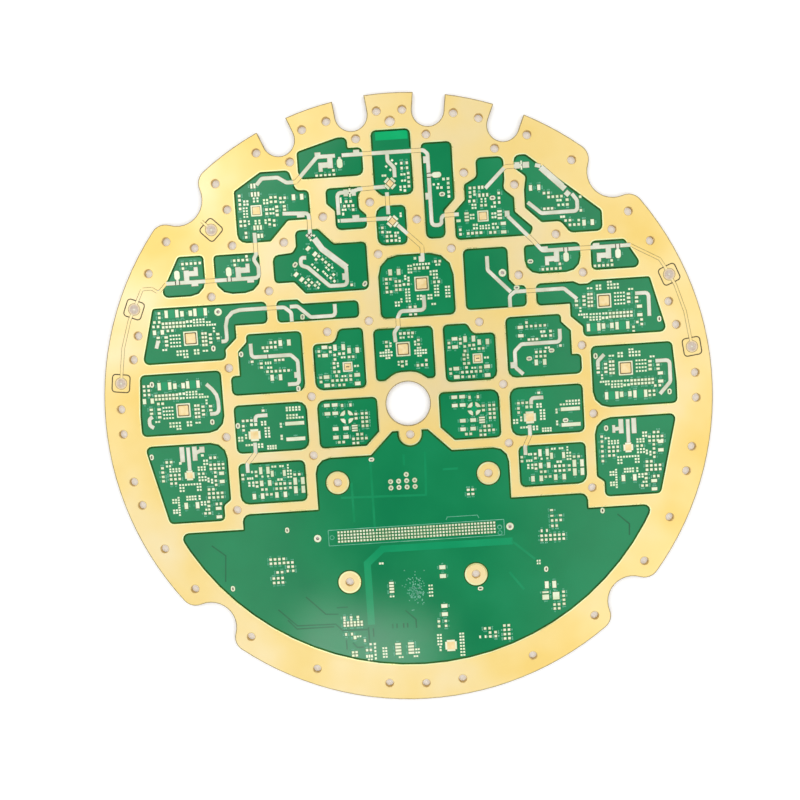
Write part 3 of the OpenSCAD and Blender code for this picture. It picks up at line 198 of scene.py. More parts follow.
finishes = {
    "laminate": bare_laminate,
    "ground_plane_back": back_gold,
    "ground_copper_front": immersion_gold,
    "solder_mask": green_mask,
    "rf_lines": silvered_line,
    "chip_paddles": paddle_gold,
    "component_pads": pale_pad,
    "connector_pads": pale_pad,
    "standoff_lands": immersion_gold,
    "header_lands": pale_pad,
    "launch_lands": immersion_gold,
    "ring_and_oval_lands": pale_pad,
    "mask_over_copper": bright_mask,
}
for node_name, material in finishes.items():
    board_node = nodes[node_name]
    if not board_node.material_slots:
        board_node.data.materials.append(material)
    for material_slot in board_node.material_slots:
        material_slot.material = material


# Building helpers. Outlines are lists of (x, y) in millimetres on the board.


def finish_piece(name, mesh_data, material):
    mesh = bpy.data.meshes.new(name)
    mesh_data.to_mesh(mesh)
    mesh_data.free()
    piece = bpy.data.objects.new(name, mesh)
    bpy.context.scene.collection.objects.link(piece)
    mesh.materials.append(material)
    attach(piece, "root")


def turned(points, angle, shift):
    c, s = math.cos(math.radians(angle)), math.sin(math.radians(angle))
    return [(x * c - y * s + shift[0], x * s + y * c + shift[1]) for x, y in points]


def rectangle(w, h):
    return [(-w / 2, -h / 2), (w / 2, -h / 2), (w / 2, h / 2), (-w / 2, h / 2)]


rounded_share = 0.4  # upper share of a pillow's height in which its side is drawn in


def pillow(mesh_data, outline, z_low, z_high, lip):
    """A low plate with a rounded shoulder: foot, shoulder and crown rings of one outline."""
    middle = Vector((sum(p[0] for p in outline), sum(p[1] for p in outline))) / len(outline)
    rings = []
    for inset, z in ((0.0, z_low), (0.0, z_high - rounded_share * (z_high - z_low)), (lip, z_high)):
        ring = []
        for p in outline:
            away = Vector(p) - middle
            size = away.length
            spot = middle + away * max(0.0, (size - inset) / size)
            ring.append(mesh_data.verts.new((spot.x * MM, spot.y * MM, z * MM)))
        rings.append(ring)
    n = len(outline)
    for lower, upper in zip(rings, rings[1:]):
        for i in range(n):
            mesh_data.faces.new((lower[i], lower[(i + 1) % n], upper[(i + 1) % n], upper[i]))
    mesh_data.faces.new(rings[-1])


mitre_floor = 0.5  # keeps the corners of a sharp turn from running out to spikes
shortest = 1e-6  # a direction shorter than this has no way of its own


def ribbon(mesh_data, path, width, z, closed=False):
    """A flat strip of one width along a path of (x, y)."""
    n = len(path)
    spots = [Vector(p) for p in path]
    left, right = [], []
    for i, spot in enumerate(spots):
        before = spots[(i - 1) % n] if closed or i > 0 else spot * 2 - spots[i + 1]
        after = spots[(i + 1) % n] if closed or i < n - 1 else spot * 2 - spots[i - 1]
        along = ((spot - before).normalized() + (after - spot).normalized())
        along = along.normalized() if along.length > shortest else (after - spot).normalized()
        outward = Vector((-along.y, along.x))
        first = (spot - before).normalized()
        mitre = max(mitre_floor, abs(outward.dot(Vector((-first.y, first.x)))))
        side = outward * width / 2 / mitre
        left.append(mesh_data.verts.new(((spot + side).x * MM, (spot + side).y * MM, z * MM)))
        right.append(mesh_data.verts.new(((spot - side).x * MM, (spot - side).y * MM, z * MM)))
    for i in range(n if closed else n - 1):
        j = (i + 1) % n
        mesh_data.faces.new((left[i], right[i], right[j], left[j]))


# What the top of the board is made of at a spot

def upward_tree(node_name):
    mesh_data = bmesh.new()
    mesh_data.from_mesh(nodes[node_name].data)
    mesh_data.transform(nodes[node_name].matrix_world)
    tree = BVHTree.FromBMesh(mesh_data)
    mesh_data.free()
    return tree


mask_tree = upward_tree("solder_mask")
ground_tree = upward_tree("ground_copper_front")
ray_start = 0.01  # metres above the bench, well over the board
height_tolerance = 0.004  # how far a hit may lie from the height of a face and still be on it


def on_top(tree, x, y, top_mm):
    """Whether the sheet's upper face lies under the spot."""
    hit = tree.ray_cast(Vector((x * MM, y * MM, ray_start)), Vector((0, 0, -1)))
    return hit[0] is not None and abs(hit[0].z / MM - top_mm) < height_tolerance


# Smallest pads. A group is [x, y, columns, rows, column pitch, row pitch, width, height], from its
# lower left pad. A place is (x, y, turn) of a circuit that comes more than once.

converter_places = [(-83.6, 31.1, 0), (-88.8, 3, 0), (79, 35.2, 180), (86.2, 8.4, 180)]
converter_fine = [
    [-0.8, 6.6, 2, 1, 1.5, 0, 1, 1], [-0.6, 4.9, 2, 1, 1.1, 0, 0.8, 0.8],
    [1.9, 6.1, 4, 2, 1.25, 1, 0.8, 0.7],
    [1.9, 4.9, 4, 1, 1.2, 0, 0.8, 0.7], [6.9, 5.9, 2, 1, 1.1, 0, 0.8, 0.7],
    [7, 4.8, 4, 1, 1, 0, 0.75, 0.75],
    [9.4, 2.2, 1, 2, 0, 1.2, 0.8, 0.75], [-7.8, -2.7, 4, 4, 1.15, 1.4, 0.75, 0.65],
    [-11.1, -3.9, 2, 1, 1.1, 0, 0.8, 0.7], [-5.6, -6.1, 4, 2, 1.25, 1.3, 0.8, 0.8],
    [-2.9, -7.2, 2, 1, 1.1, 0, 0.8, 0.7], [1.3, -6, 2, 2, 1.25, 1.2, 0.85, 0.85],
    [4.8, -5.2, 2, 1, 1.2, 0, 0.9, 0.7],
]
control_places = [(0, 0, 0), (51.2, 0, 0)]
control_fine = [
    [-24.8, 19.8, 2, 1, 1, 0, 0.75, 0.75], [-26.6, 16.5, 1, 2, 0, 1.1, 0.8, 0.8],
    [-19.9, 16.1, 2, 1, 1.1, 0, 0.8, 0.8], [-25.1, 12.4, 2, 1, 1.1, 0, 0.75, 0.75],
]
power_places = [(0, 0, 0), (109, 0, 0)]
power_fine = [
    [-62.4, -4.4, 2, 1, 1.7, 0, 1.1, 1.1], [-58.2, -4.6, 2, 2, 1.3, 1, 0.8, 0.8],
    [-57, -9.5, 2, 4, 1.3, 1.13, 0.8, 0.8], [-67.7, -10.4, 2, 2, 1.2, 1.1, 0.8, 0.8],
    [-64.9, -9.5, 1, 2, 0, 1.1, 0.8, 0.8], [-65, -12.4, 3, 1, 1.1, 0, 0.8, 0.8],
    [-60.1, -13.4, 2, 2, 1.3, 1, 0.8, 0.8], [-56.5, -14.3, 4, 2, 1, 0.95, 0.75, 0.75],
]
filter_places = [(0, 0, 0), (174.2, 0, 0)]
filter_fine = [
    [-97.2, -18.8, 2, 1, 1.2, 0, 0.8, 0.8], [-96, -21, 4, 2, 1.2, 0.95, 0.75, 0.7],
    [-84.7, -21, 3, 2, 1.2, 1, 0.75, 0.75], [-84.7, -25.2, 3, 2, 1.2, 1.2, 0.75, 0.75],
    [-82.3, -18.8, 2, 2, 1.1, 1.3, 0.8, 0.8], [-81.2, -25.8, 1, 2, 0, 1.1, 0.8, 0.8],
    [-79.8, -26.4, 1, 2, 0, 1.1, 0.8, 0.8], [-92.6, -26.6, 8, 1, 1.14, 0, 0.75, 0.75],
    [-92.6, -29, 2, 2, 1.2, 1.2, 0.75, 0.75], [-85.7, -29, 2, 2, 1.1, 1.2, 0.75, 0.75],
    [-95.9, -33.5, 2, 2, 1.1, 1.1, 0.8, 0.75], [-95.9, -37.6, 2, 2, 1.1, 1, 0.8, 0.75],
    [-93.7, -38.6, 1, 8, 0, 1, 0.8, 0.65], [-90.2, -32.6, 4, 2, 1.07, 1.1, 0.8, 0.75],
    [-85.3, -32.6, 1, 2, 0, 1.1, 0.8, 0.8], [-84.6, -35, 2, 2, 1.3, 1, 0.8, 0.75],
    [-83, -37.1, 2, 1, 1.1, 0, 0.8, 0.8],
]
supply_places = [(0, 0, 0), (111, 0, 0)]
supply_fine = [
    [-65.5, -25.75, 3, 1, 0.9, 0, 0.7, 0.9], [-64.6, -23.2, 2, 1, 0.9, 0, 0.7, 0.9],
    [-59.7, -25.3, 2, 1, 2.3, 0, 0.8, 0.8], [-55.4, -21.6, 2, 1, 1.1, 0, 0.8, 0.8],
    [-52.3, -21.6, 2, 1, 1, 0, 0.8, 0.8], [-49.3, -22.4, 1, 2, 0, 1.1, 0.7, 0.7],
    [-49.4, -26.1, 2, 3, 1.1, 1.25, 0.75, 0.75], [-53.4, -26.9, 2, 1, 1.2, 0, 0.9, 0.9],
    [-65.1, -28.6, 1, 2, 0, 1.1, 0.85, 0.85], [-63.5, -28.7, 1, 2, 0, 1.2, 0.85, 0.85],
]
upper_fine = [
    [49.6, 88.3, 1, 2, 0, 2, 0.6, 1.4], [-17.3, 82.2, 1, 2, 0, 2, 0.7, 1.4],
    [-21, 80.5, 1, 1, 0, 0, 0.7, 2.2],
    [-22.3, 72.7, 1, 1, 0, 0, 0.7, 1.3], [-54.6, 82.3, 2, 2, 1.4, 1.1, 0.75, 0.75],
    [-54.6, 73.8, 2, 2, 1.5, 1, 0.75, 0.75],
    [-58.4, 81.3, 2, 2, 1.2, 1.2, 0.8, 0.8], [-58.8, 76.6, 2, 4, 1.15, 1.1, 0.7, 0.65],
    [-57.2, 73.8, 1, 2, 0, 1, 0.7, 0.7], [-50.7, 81.3, 2, 2, 1.2, 1.2, 0.8, 0.8],
    [-44.3, 81.3, 2, 1, 1.1, 0, 0.8, 0.8], [-48.5, 77.3, 2, 2, 1.1, 1.6, 0.8, 0.8],
    [-50.7, 73.8, 1, 2, 0, 1, 0.8, 0.8], [29.9, 74.2, 2, 2, 1.1, 1.2, 0.75, 0.75],
    [33.5, 76.4, 2, 2, 1.5, 1, 0.7, 0.7], [29, 70.3, 2, 2, 1, 1.3, 0.75, 0.75],
    [37.4, 70.2, 2, 2, 1.1, 1.4, 0.8, 0.8], [37.4, 74.2, 2, 1, 1.1, 0, 0.8, 0.8],
    [30, 66.4, 2, 2, 1.1, 1.3, 0.8, 0.8], [32.5, 66.2, 2, 2, 1, 0.9, 0.65, 0.65],
    [34.7, 66.1, 2, 2, 1.1, 1.1, 0.7, 0.7], [37.4, 67.6, 2, 1, 1.1, 0, 0.8, 0.8],
    [37.4, 66.2, 2, 1, 1.7, 0, 0.9, 0.9], [30.9, 79.3, 1, 2, 0, 1.2, 0.9, 0.9],
    [24.1, 69.7, 1, 1, 0, 0, 1.7, 1], [62.9, 75, 2, 1, 1.1, 0, 0.9, 0.9],
    [63.2, 73.2, 2, 1, 1.7, 0, 0.9, 0.9], [64, 68.6, 2, 1, 1, 0, 0.9, 0.9],
    [70.7, 66.9, 1, 1, 0, 0, 0.9, 0.9], [15.4, 84.2, 2, 1, 1.8, 0, 0.8, 0.8],
    [16.8, 82.8, 2, 1, 1.5, 0, 0.95, 0.95], [19.3, 86, 1, 1, 0, 0, 1, 1], [21, 79.3, 1, 5, 0, 1.68, 1, 1],
    [-4.1, 88.8, 2, 1, 0.95, 0, 0.8, 0.8], [3.2, 88.8, 2, 1, 1.1, 0, 0.8, 0.8],
    [3.3, 86.4, 2, 1, 1.1, 0, 0.8, 0.8], [2.5, 83, 1, 2, 0, 1.1, 0.8, 0.8],
    [4.1, 82.6, 1, 2, 0, 1.5, 0.95, 0.95],
    [1.85, 73, 1, 2, 0, 0.95, 0.8, 0.8], [-3.7, 67.1, 2, 1, 1, 0, 0.8, 0.8],
    [-0.65, 66.7, 2, 1, 1, 0, 0.8, 0.8], [0.8, 63.5, 1, 2, 0, 1.1, 0.8, 0.8],
    [-20.4, 76.8, 2, 1, 1, 0, 0.8, 0.8], [-20.4, 75.2, 1, 1, 0, 0, 0.8, 1.1],
    [2.05, 48.7, 1, 2, 0, 1.1, 0.8, 0.8], [3.3, 48, 1, 2, 0, 1.1, 0.8, 0.8],
    [2.05, 40, 2, 5, 1.15, 1.15, 0.75, 0.75], [3.55, 51.1, 2, 3, 1, 1.25, 0.75, 0.75],
    [5.8, 54, 6, 1, 1.16, 0, 0.8, 0.8], [6.3, 56.4, 1, 1, 0, 0, 1, 1],
    [14.5, 53.4, 2, 1, 1.1, 0, 0.75, 0.75],
    [12.05, 49.8, 1, 2, 0, 1.1, 0.75, 0.75], [13.3, 48.4, 2, 3, 1.1, 1.3, 0.8, 0.8],
    [13.4, 41.6, 2, 4, 1.1, 1.23, 0.8, 0.75], [17.7, 40.9, 2, 4, 1.1, 1.23, 0.8, 0.75],
    [10.7, 40.6, 2, 2, 1.05, 1.2, 0.8, 0.8], [6.5, 40.6, 2, 2, 1.2, 1.2, 0.8, 0.8],
    [-2.25, 38.6, 2, 2, 1.15, 1.2, 0.75, 0.75], [0, 40, 1, 2, 0, 1, 0.7, 0.7],
    [12, 38.3, 2, 1, 1, 0, 0.75, 0.75],
]
middle_fine = [
    [-1.25, 26, 2, 1, 1.15, 0, 0.8, 0.8], [1.9, 26.1, 2, 1, 1.3, 0, 0.8, 0.8],
    [-5.4, 23, 1, 2, 0, 1.1, 0.8, 0.8],
    [4.25, 23, 1, 2, 0, 1.1, 0.8, 0.8], [-9.5, 19.4, 5, 2, 1.06, 1.2, 0.8, 0.75],
    [-7.3, 21.5, 2, 1, 1.05, 0, 0.8, 0.7], [-7.3, 18.4, 2, 1, 1.05, 0, 0.8, 0.7],
    [4.1, 19.5, 5, 2, 1.04, 1.1, 0.8, 0.75], [5.2, 21.6, 2, 1, 0.95, 0, 0.75, 0.7],
    [5.2, 18.5, 2, 1, 0.95, 0, 0.75, 0.7], [-2.7, 15.5, 1, 2, 0, 1.1, 0.7, 0.7],
    [0.35, 15.5, 1, 2, 0, 1.1, 0.85, 0.85], [-54.9, 24.2, 2, 1, 1, 0, 0.8, 0.8],
    [-54.9, 19.5, 3, 1, 0.95, 0, 0.6, 1.1], [-54, 17.65, 2, 1, 1.1, 0, 0.85, 0.85],
    [53.9, 24.8, 2, 1, 1.1, 0, 0.9, 0.9], [55.3, 18.4, 2, 1, 1.2, 0, 0.85, 0.85],
    [-50.8, -5.9, 1, 2, 0, 1.1, 0.8, 0.8], [-50.8, -10.7, 1, 2, 0, 1.1, 0.9, 0.9],
    [-48, 0.4, 5, 2, 1.25, 1, 0.8, 0.8], [-48, -1.6, 4, 1, 1.25, 0, 0.8, 0.8],
    [-48, -2.7, 6, 1, 1.2, 0, 0.8, 0.8],
    [58.2, -7.3, 1, 2, 0, 1.1, 0.8, 0.8], [58.2, -12, 1, 2, 0, 1.1, 0.8, 0.8],
    [62.4, -3.1, 5, 1, 1.2, 0, 0.8, 0.8], [60, -4.3, 7, 1, 1.2, 0, 0.8, 0.7],
    [-91.8, -17.9, 1, 1, 0, 0, 1, 1], [-82.8, -15.3, 1, 1, 0, 0, 1.1, 0.9],
]
lower_fine = [
    [14.9, -102.8, 2, 8, 1.1, 1.26, 0.8, 0.75], [5.9, -97.8, 2, 4, 1.1, 1.27, 0.8, 0.75],
    [6.6, -100.2, 1, 2, 0, 1.2, 0.8, 0.8], [22.8, -95.8, 2, 1, 2.2, 0, 0.7, 1.1],
    [-15.4, -63.3, 2, 1, 1, 0, 0.8, 0.8], [-12, -77, 2, 1, 1.1, 0, 0.7, 0.7],
    [3.7, -77.7, 2, 4, 1, 1.4, 0.7, 0.7],
    [-31.2, -85.5, 3, 1, 2.7, 0, 0.8, 0.7], [-26.3, -92.5, 2, 1, 1, 0, 0.7, 0.7],
    [-21.4, -96, 2, 1, 1.7, 0, 0.9, 0.9], [-23.2, -100.9, 3, 1, 1, 0, 0.75, 1.2],
    [-22.5, -102.3, 2, 1, 1.1, 0, 0.8, 0.7], [-19.7, -102, 1, 4, 0, 1.5, 0.8, 0.9],
    [-16.4, -101.6, 2, 4, 1.1, 1.2, 0.8, 0.75], [-10, -102.1, 2, 1, 1.1, 0, 0.8, 0.7],
    [-4, -102.1, 2, 1, 1, 0, 0.8, 0.7], [-3.2, -100.6, 2, 2, 1, 1.3, 0.8, 0.75],
    [47.5, -67.3, 2, 2, 0.9, 1.1, 0.6, 0.7],
]
# pads of the slanting circuit, one by one, all turned by 45 degrees
slanting_fine = [
    (-32.3, 67.7), (-33.7, 66.1), (-33.8, 56.6), (-32.9, 55.4), (-31.8, 54.4), (-28.4, 55.1), (-27.6, 54.2),
    (-26.1, 54.9), (-29.7, 53.6), (-29, 52.8), (-28.3, 52), (-32.3, 49.7), (-31.6, 48.9), (-32.1, 47.5),
    (-0.1, 94.4), (1.3, 93), (-2.5, 92.2), (-1, 90.8),
]
slanting_side = 0.8
slanting_turn = 45
once = [(0, 0, 0)]
pad_foot = mask_top - 0.01  # the pads reach a little into the mask, so that no gap shows
pad_crown = mask_top + pad_rise
pad_lip = 0.08  # how far the crown of a pad is drawn in
square_side = 0.9  # squares of the board that hold either a pad or printed marks
pad_squares = set()


def square_at(x, y):
    return round(x / square_side), round(y / square_side)


def fine_pads():
    """The smallest pads, too many for solids: low pillows of plating that stand on the mask."""
    pads = bmesh.new()
    circuits = [
        (converter_fine, converter_places), (control_fine, control_places), (power_fine, power_places),
        (filter_fine, filter_places), (supply_fine, supply_places), (upper_fine, once),
        (middle_fine, once), (lower_fine, once),
    ]
    for groups, places in circuits:
        for px, py, angle in places:
            for x, y, columns, rows, step_x, step_y, w, h in groups:
                for i in range(columns):
                    for j in range(rows):
                        spot = turned([(x + i * step_x, y + j * step_y)], angle, (px, py))[0]
                        if on_top(mask_tree, *spot, mask_top):
                            pillow(pads, turned(rectangle(w, h), angle, spot), pad_foot, pad_crown, pad_lip)
                            pad_squares.add(square_at(*spot))
    for spot in slanting_fine:
        outline = turned(rectangle(slanting_side, slanting_side), slanting_turn, spot)
        pillow(pads, outline, pad_foot, pad_crown, pad_lip)
    finish_piece("fine_pads", pads, pale_pad)


# Edges of the mask: a dark line of thick film and painted shade, and a pale line of painted highlight. They
# follow the outline of the front copper, so they are taken from its mesh.

level = 0.9  # upward part of a face's normal from which the face counts as level
level_band = 0.01  # how far a level face may lie from the top of its sheet


def outlines_on_top(node_name, top_mm):
    """The outlines in the upper face of a sheet, as closed lists of (x, y) in millimetres."""
    sheet = bmesh.new()
    sheet.from_mesh(nodes[node_name].data)
    sheet.transform(nodes[node_name].matrix_world)
    bmesh.ops.remove_doubles(sheet, verts=sheet.verts, dist=weld)
    following = {}
    for face in sheet.faces:
        if face.normal.z > level and abs(face.calc_center_median().z / MM - top_mm) < level_band:
            for loop in face.loops:
                others = [f for f in loop.edge.link_faces if f is not face]
                if not others or others[0].normal.z < level:
                    start, end = loop.vert, loop.link_loop_next.vert
                    spot = (start.co.x / MM, start.co.y / MM)
                    following.setdefault(start.index, []).append((end.index, spot))
    loops = []
    while following:
        first = next(iter(following))
        loop, at = [], first
        while at in following:
            end, spot = following[at].pop()
            if not following[at]:
                del following[at]
            loop.append(spot)
            at = end
            if at == first:
                break
        loops.append(loop)
    sheet.free()
    return loops


def signed_area(loop):
    return 0.5 * sum(a[0] * b[1] - b[0] * a[1] for a, b in zip(loop, loop[1:] + loop[:1]))


def evenly(loop, step):
    """The loop with points every step along its sides, corners kept."""
    spots = []
    for a, b in zip(loop, loop[1:] + loop[:1]):
        length = math.dist(a, b)
        count = max(1, round(length / step))
        spots += [(a[0] + (b[0] - a[0]) * k / count, a[1] + (b[1] - a[1]) * k / count) for k in range(count)]
    return spots


shade_line_w = 0.7  # dark line on the mask: thick film and painted shade
highlight_w = 0.45  # pale line of painted highlight on the copper
edge_step = 0.45  # how finely both break off at a line or pad
cell_area = (60, 20000)  # square millimetres: from the smallest compartment to the largest


def painted_mask_edges():
    """The dark line of thick film and painted shade inside each copper edge and the pale line of painted
    highlight on it, left out where a line or pad crosses.
    """
    edge, highlight = bmesh.new(), bmesh.new()
    for loop in outlines_on_top("ground_copper_front", copper_top):
        if not cell_area[0] < abs(signed_area(loop)) < cell_area[1]:
            continue
        spots = [Vector(p) for p in evenly(loop, edge_step)]
        n = len(spots)
        # the copper lies to the left of its own outline, so the mask lies to the right
        sides = []
        for i in range(n):
            along = (spots[(i + 1) % n] - spots[i - 1]).normalized()
            sides.append(Vector((along.y, -along.x)))
        kept = [on_top(mask_tree, *(p + side * shade_line_w / 2), mask_top) for p, side in zip(spots, sides)]
        for i in range(n):
            j = (i + 1) % n
            if not (kept[i] and kept[j]):
                continue
            for strip, width, z in ((edge, shade_line_w, mask_top + skin), (highlight, -highlight_w, copper_top + skin)):
                corners = [spots[i], spots[i] + sides[i] * width, spots[j] + sides[j] * width, spots[j]]
                strip.faces.new([strip.verts.new((p.x * MM, p.y * MM, z * MM)) for p in corners])
    for strip in (edge, highlight):
        bmesh.ops.remove_doubles(strip, verts=strip.verts, dist=strip_weld)
    finish_piece("painted_mask_edges", edge, edge_film_and_shade)
    finish_piece("painted_edge_highlights", highlight, edge_highlight_paint)


# drilled holes, told apart by their area in square millimetres
screw_hole_area = (7, 12.5)
ringed_hole_area = (1.3, 2.2)
oval_slot_area = (0.45, 0.85)
hole_lip = 0.2  # bare ring that the copper leaves round an unplated hole
lining_inset = 0.004  # share of the hole's width by which a lining stands clear of the drilled wall


def hole_walls(name, areas, material, lip=0.0):
    """Finished walls for the drilled holes whose area in square millimetres lies between two values."""
    walls = bmesh.new()
    for loop in outlines_on_top("laminate", laminate_top):
        if not areas[0] < abs(signed_area(loop)) < areas[1]:
            continue
        middle = Vector((sum(p[0] for p in loop), sum(p[1] for p in loop))) / len(loop)
        inset = [middle + (Vector(p) - middle) * (1 - lining_inset) for p in loop]
        profile = [(inset, skin), (inset, laminate_top + skin)]
        if lip:
            profile.append(([p + (p - middle).normalized() * lip for p in inset], laminate_top + skin))
        rings = [[walls.verts.new((p.x * MM, p.y * MM, z * MM)) for p in ring] for ring, z in profile]
        for lower, upper in zip(rings, rings[1:]):
            for i in range(len(loop)):
                j = (i + 1) % len(loop)
                walls.faces.new((lower[i], lower[j], upper[j], upper[i]))
    finish_piece(name, walls, material)


# Flat finishes: thin sheets that lie on a face

circle_steps = 28


def circle(r, steps=circle_steps):
    return [(r * math.cos(math.tau * k / steps), r * math.sin(math.tau * k / steps)) for k in range(steps)]


def circles(spots, r, steps=circle_steps):
    """One circle of points round each spot."""
    return [turned(circle(r, steps), 0, spot) for spot in spots]


def patches(name, outlines, z, material, slot_name):
    sheet = bmesh.new()
    for outline in outlines:
        sheet.faces.new([sheet.verts.new((x * MM, y * MM, z * MM)) for x, y in outline])
    finish_piece(name, sheet, material)


def ribbons(name, paths, width, z, material, closed=False):
    sheet = bmesh.new()
    for path in paths:
        ribbon(sheet, path, width, z, closed)
    finish_piece(name, sheet, material)


# where the lines run over the gold, they are gold themselves
line_w = 1.4
thin_line_w = 0.9
line_crossings = [
    [(-38.9, 88.6), (-37.9, 88.6), (-36, 90.5)], [(-11.3, 97.6), (-7.8, 97.6)], [(7.5, 97.5), (11.2, 97.5)],
    [(18.9, 72.2), (22.6, 72.2)], [(-33.8, 74), (-33.8, 70.2)], [(-55.4, 66.4), (-55.4, 62.8)],
    [(-72.3, 52.9), (-76, 52.9)], [(-7.9, 84.5), (-12.3, 84.3)], [(-11.4, 72.5), (-7.8, 72.5)],
    [(-2.9, 80.9), (-2.9, 77.3)], [(-1.9, 33.6), (-1.9, 30.6)], [(4, 66), (9.3, 60.8), (9.3, 58.3)],
    [(48.9, 41), (52.5, 41)], [(42.9, 88.7), (43.3, 89.1), (46.7, 89.1)],
    [(50.7, 62.3), (52.6, 60.2), (53.8, 58.7)],
    [(70.7, 56.1), (74.7, 56.1)], [(-61.7, -15.8), (-65, -19.6)], [(47.2, -15.8), (45.3, -19.5)],
    [(-52.8, 40.9), (-49.1, 40.9)],
]
rim_crossings = [
    [(-91.4, 52.9), (-94.6, 49.6), (-97.2, 51.4), (-101, 51.4), (-103.8, 45.9)],
    [(-105.9, 41.7), (-107, 39.6), (-110.4, 29), (-112.2, 17.4)],
    [(-75.6, 76.1), (-73.7, 74.2)], [(90.2, 56.1), (101.4, 49.9), (103.8, 45.9)],
    [(105.9, 41.7), (107, 39.6), (110.4, 29), (112.2, 17.4)],
]

# coax launches at the rim: x, y, turn
launches = [
    (-72.1, 72.5, 45), (-104.8, 43.8, -22.5), (-112.5, 15.2, -7.5), (104.8, 43.8, 22.5), (112.5, 15.2, 7.5),
]
launch_gap_side = 6.95
launch_gap_w = 0.42
launch_corner_r = 1.3
launch_rim_r = 2.2
launch_contact_r = 1.75
launch_centre_r = 0.35
launch_centre_steps = 12
corner_middle = launch_gap_side / 2 - launch_corner_r
rounded_square = [
    (sx * corner_middle + launch_corner_r * math.cos(a), sy * corner_middle + launch_corner_r * math.sin(a))
    for quarter, (sx, sy) in enumerate(((1, 1), (-1, 1), (-1, -1), (1, -1)))
    for a in [math.pi / 2 * (quarter + k / 4) for k in range(5)]
]

# chips: a square paddle in a square ring (x, y); a plain square (x, y, side); a paddle with an ear on
# each side (x, y, side without and with the ears, turn)
ringed_chips = [(-83.6, 31.1), (-88.8, 3), (79, 35.2), (86.2, 8.4), (8.3, 46.5), (-0.6, 21.5)]
square_chips = [(-54, 78.7, 4.2), (33.7, 70.9, 4.2), (-22.8, 16, 3.8), (28.4, 16, 3.8)]
eared_chips = [
    (-61.5, -8.6, 3.1, 4.7, 0), (47.6, -8.6, 3.1, 4.7, 0), (-88.5, -23, 2.4, 3.8, 0),
    (85.8, -23, 2.4, 3.8, 0),
    (10.9, -98.6, 3.2, 4.6, 0), (-1.5, 85.7, 2.2, 4.4, 45), (-1.5, 71.2, 2.2, 4.4, 45),
]
standoffs = [(-30, -29.7), (30, -29.7), (-28, -70.1), (22.7, -70.1)]
standoff_land_r = 4.5
standoff_highlight_w = 0.6
standoff_shade_line_w = 0.4
standoff_shade_line_shift = 0.3  # from the land's rim to the middle of the dark line


# slots across the lines: x, y, width, height, turn
amplifiers = [
    (-86.9, 52.9, 0), (-66.6, 52.9, 0), (-20.4, 97.6, 0), (65.1, 56.1, 0), (85.3, 56.1, 0),
    (13.7, 87.8, 90),
]
slot_w = 0.35
amplifier_slot_shift = 0.8
square_chip_slot = 1.3
line_slots = [(-17.35, 83.3, slot_w, 2.3, 0), (-53.9, 22.1, slot_w, line_w, 0), (49.9, 89.3, slot_w, 1.8, 0)]
line_slots += [(-34.2, 67.9, slot_w, 2.6, 45), (-34.2, 67.9, slot_w, 2.6, -45)]
for ax, ay, turn in amplifiers:
    for shift in (-amplifier_slot_shift, amplifier_slot_shift):
        x, y = turned([(shift, 0)], turn, (ax, ay))[0]
        line_slots.append((x, y, slot_w, line_w, turn))
for x, y, _ in square_chips[2:]:
    line_slots.append((x, y, square_chip_slot, slot_w, 0))

# tracks under the mask
dark_tracks = [
    [(-57.5, -79.5), (-50.3, -86.6), (-34.9, -86.9), (-32.2, -89.7), (-22.2, -89.9)],
    [(-54, -84), (-50.5, -87.9), (-35.5, -87.9)],
    [(-46, -75), (-38.5, -82.6), (-33.4, -82.9)], [(-34, -80.2), (-29.5, -80.2)],
    [(-28.5, -95), (-26.8, -97), (-24.2, -97)],
    [(-21.8, -89), (-21.8, -95.4)], [(-19.9, -89.5), (-19.9, -93)], [(-31, -93.6), (-31, -97.6)],
    [(-12, -88.2), (-12, -90.1)], [(-10.3, -88.2), (-10.3, -90.1)], [(-7.6, -88.2), (-7.6, -90.1)],
    [(-6, -88.2), (-6, -90.1)], [(-6.5, -83), (-2.5, -87), (-2.5, -90.5)],
    [(-82.1, -51.8), (-76.8, -56.2), (-77.7, -66.8)], [(80.2, -49.3), (84.8, -53.6), (84.6, -58.1)],
]
pale_tracks = [
    [(5.4, -19.6), (4.7, -36.8), (-29.1, -35.8)], [(37.8, -57.6), (46.6, -65.4)],
    [(36, -70), (41.5, -77.5)],
    [(-16.5, -22), (-16.5, -35.7)], [(-16.5, -36.65), (-16.5, -50)], [(-24.5, -30), (-24.5, -35.5)],
    [(-24.5, -36.4), (-24.5, -46)], [(12, -27), (18, -27)], [(-3.2, -24.4), (-3.2, -20)],
]
track_w = 0.6
pale_track_w = 0.9

# printed outline of the long connector
connector_lines = [
    [(-35.2, -48.6), (35, -48.6)], [(-35.2, -54.9), (35, -54.9)], [(-35.2, -48.6), (-35.2, -54.9)],
    [(35, -48.6), (35, -54.9)], [(12, -47.4), (12.6, -46.2), (24.6, -46.2), (25.2, -47.4)],
]
connector_rings = [(33.2, -51.6), (33.2, -53.9), (-33.8, -51.6)]
connector_line_w = 0.22
connector_ring_r = 0.8
connector_ring_w = 0.25

# window in the mask between the two middle notches
window_place = (0.2, 104)
window_size = (12.4, 3.5)

# trim of the chips
ring_side, ring_w = 5.05, 0.45
ring_gap_side, ring_gap_w = 4.2, 0.4
square_edge_w = 0.5
square_groove_inset, square_groove_w = 1.2, 0.2
eared_groove_gap, eared_groove_w = 0.15, 0.28


def square_frame(sheet, side, turn, spot, width, z):
    ribbon(sheet, turned(rectangle(side, side), turn, spot), width, z, closed=True)


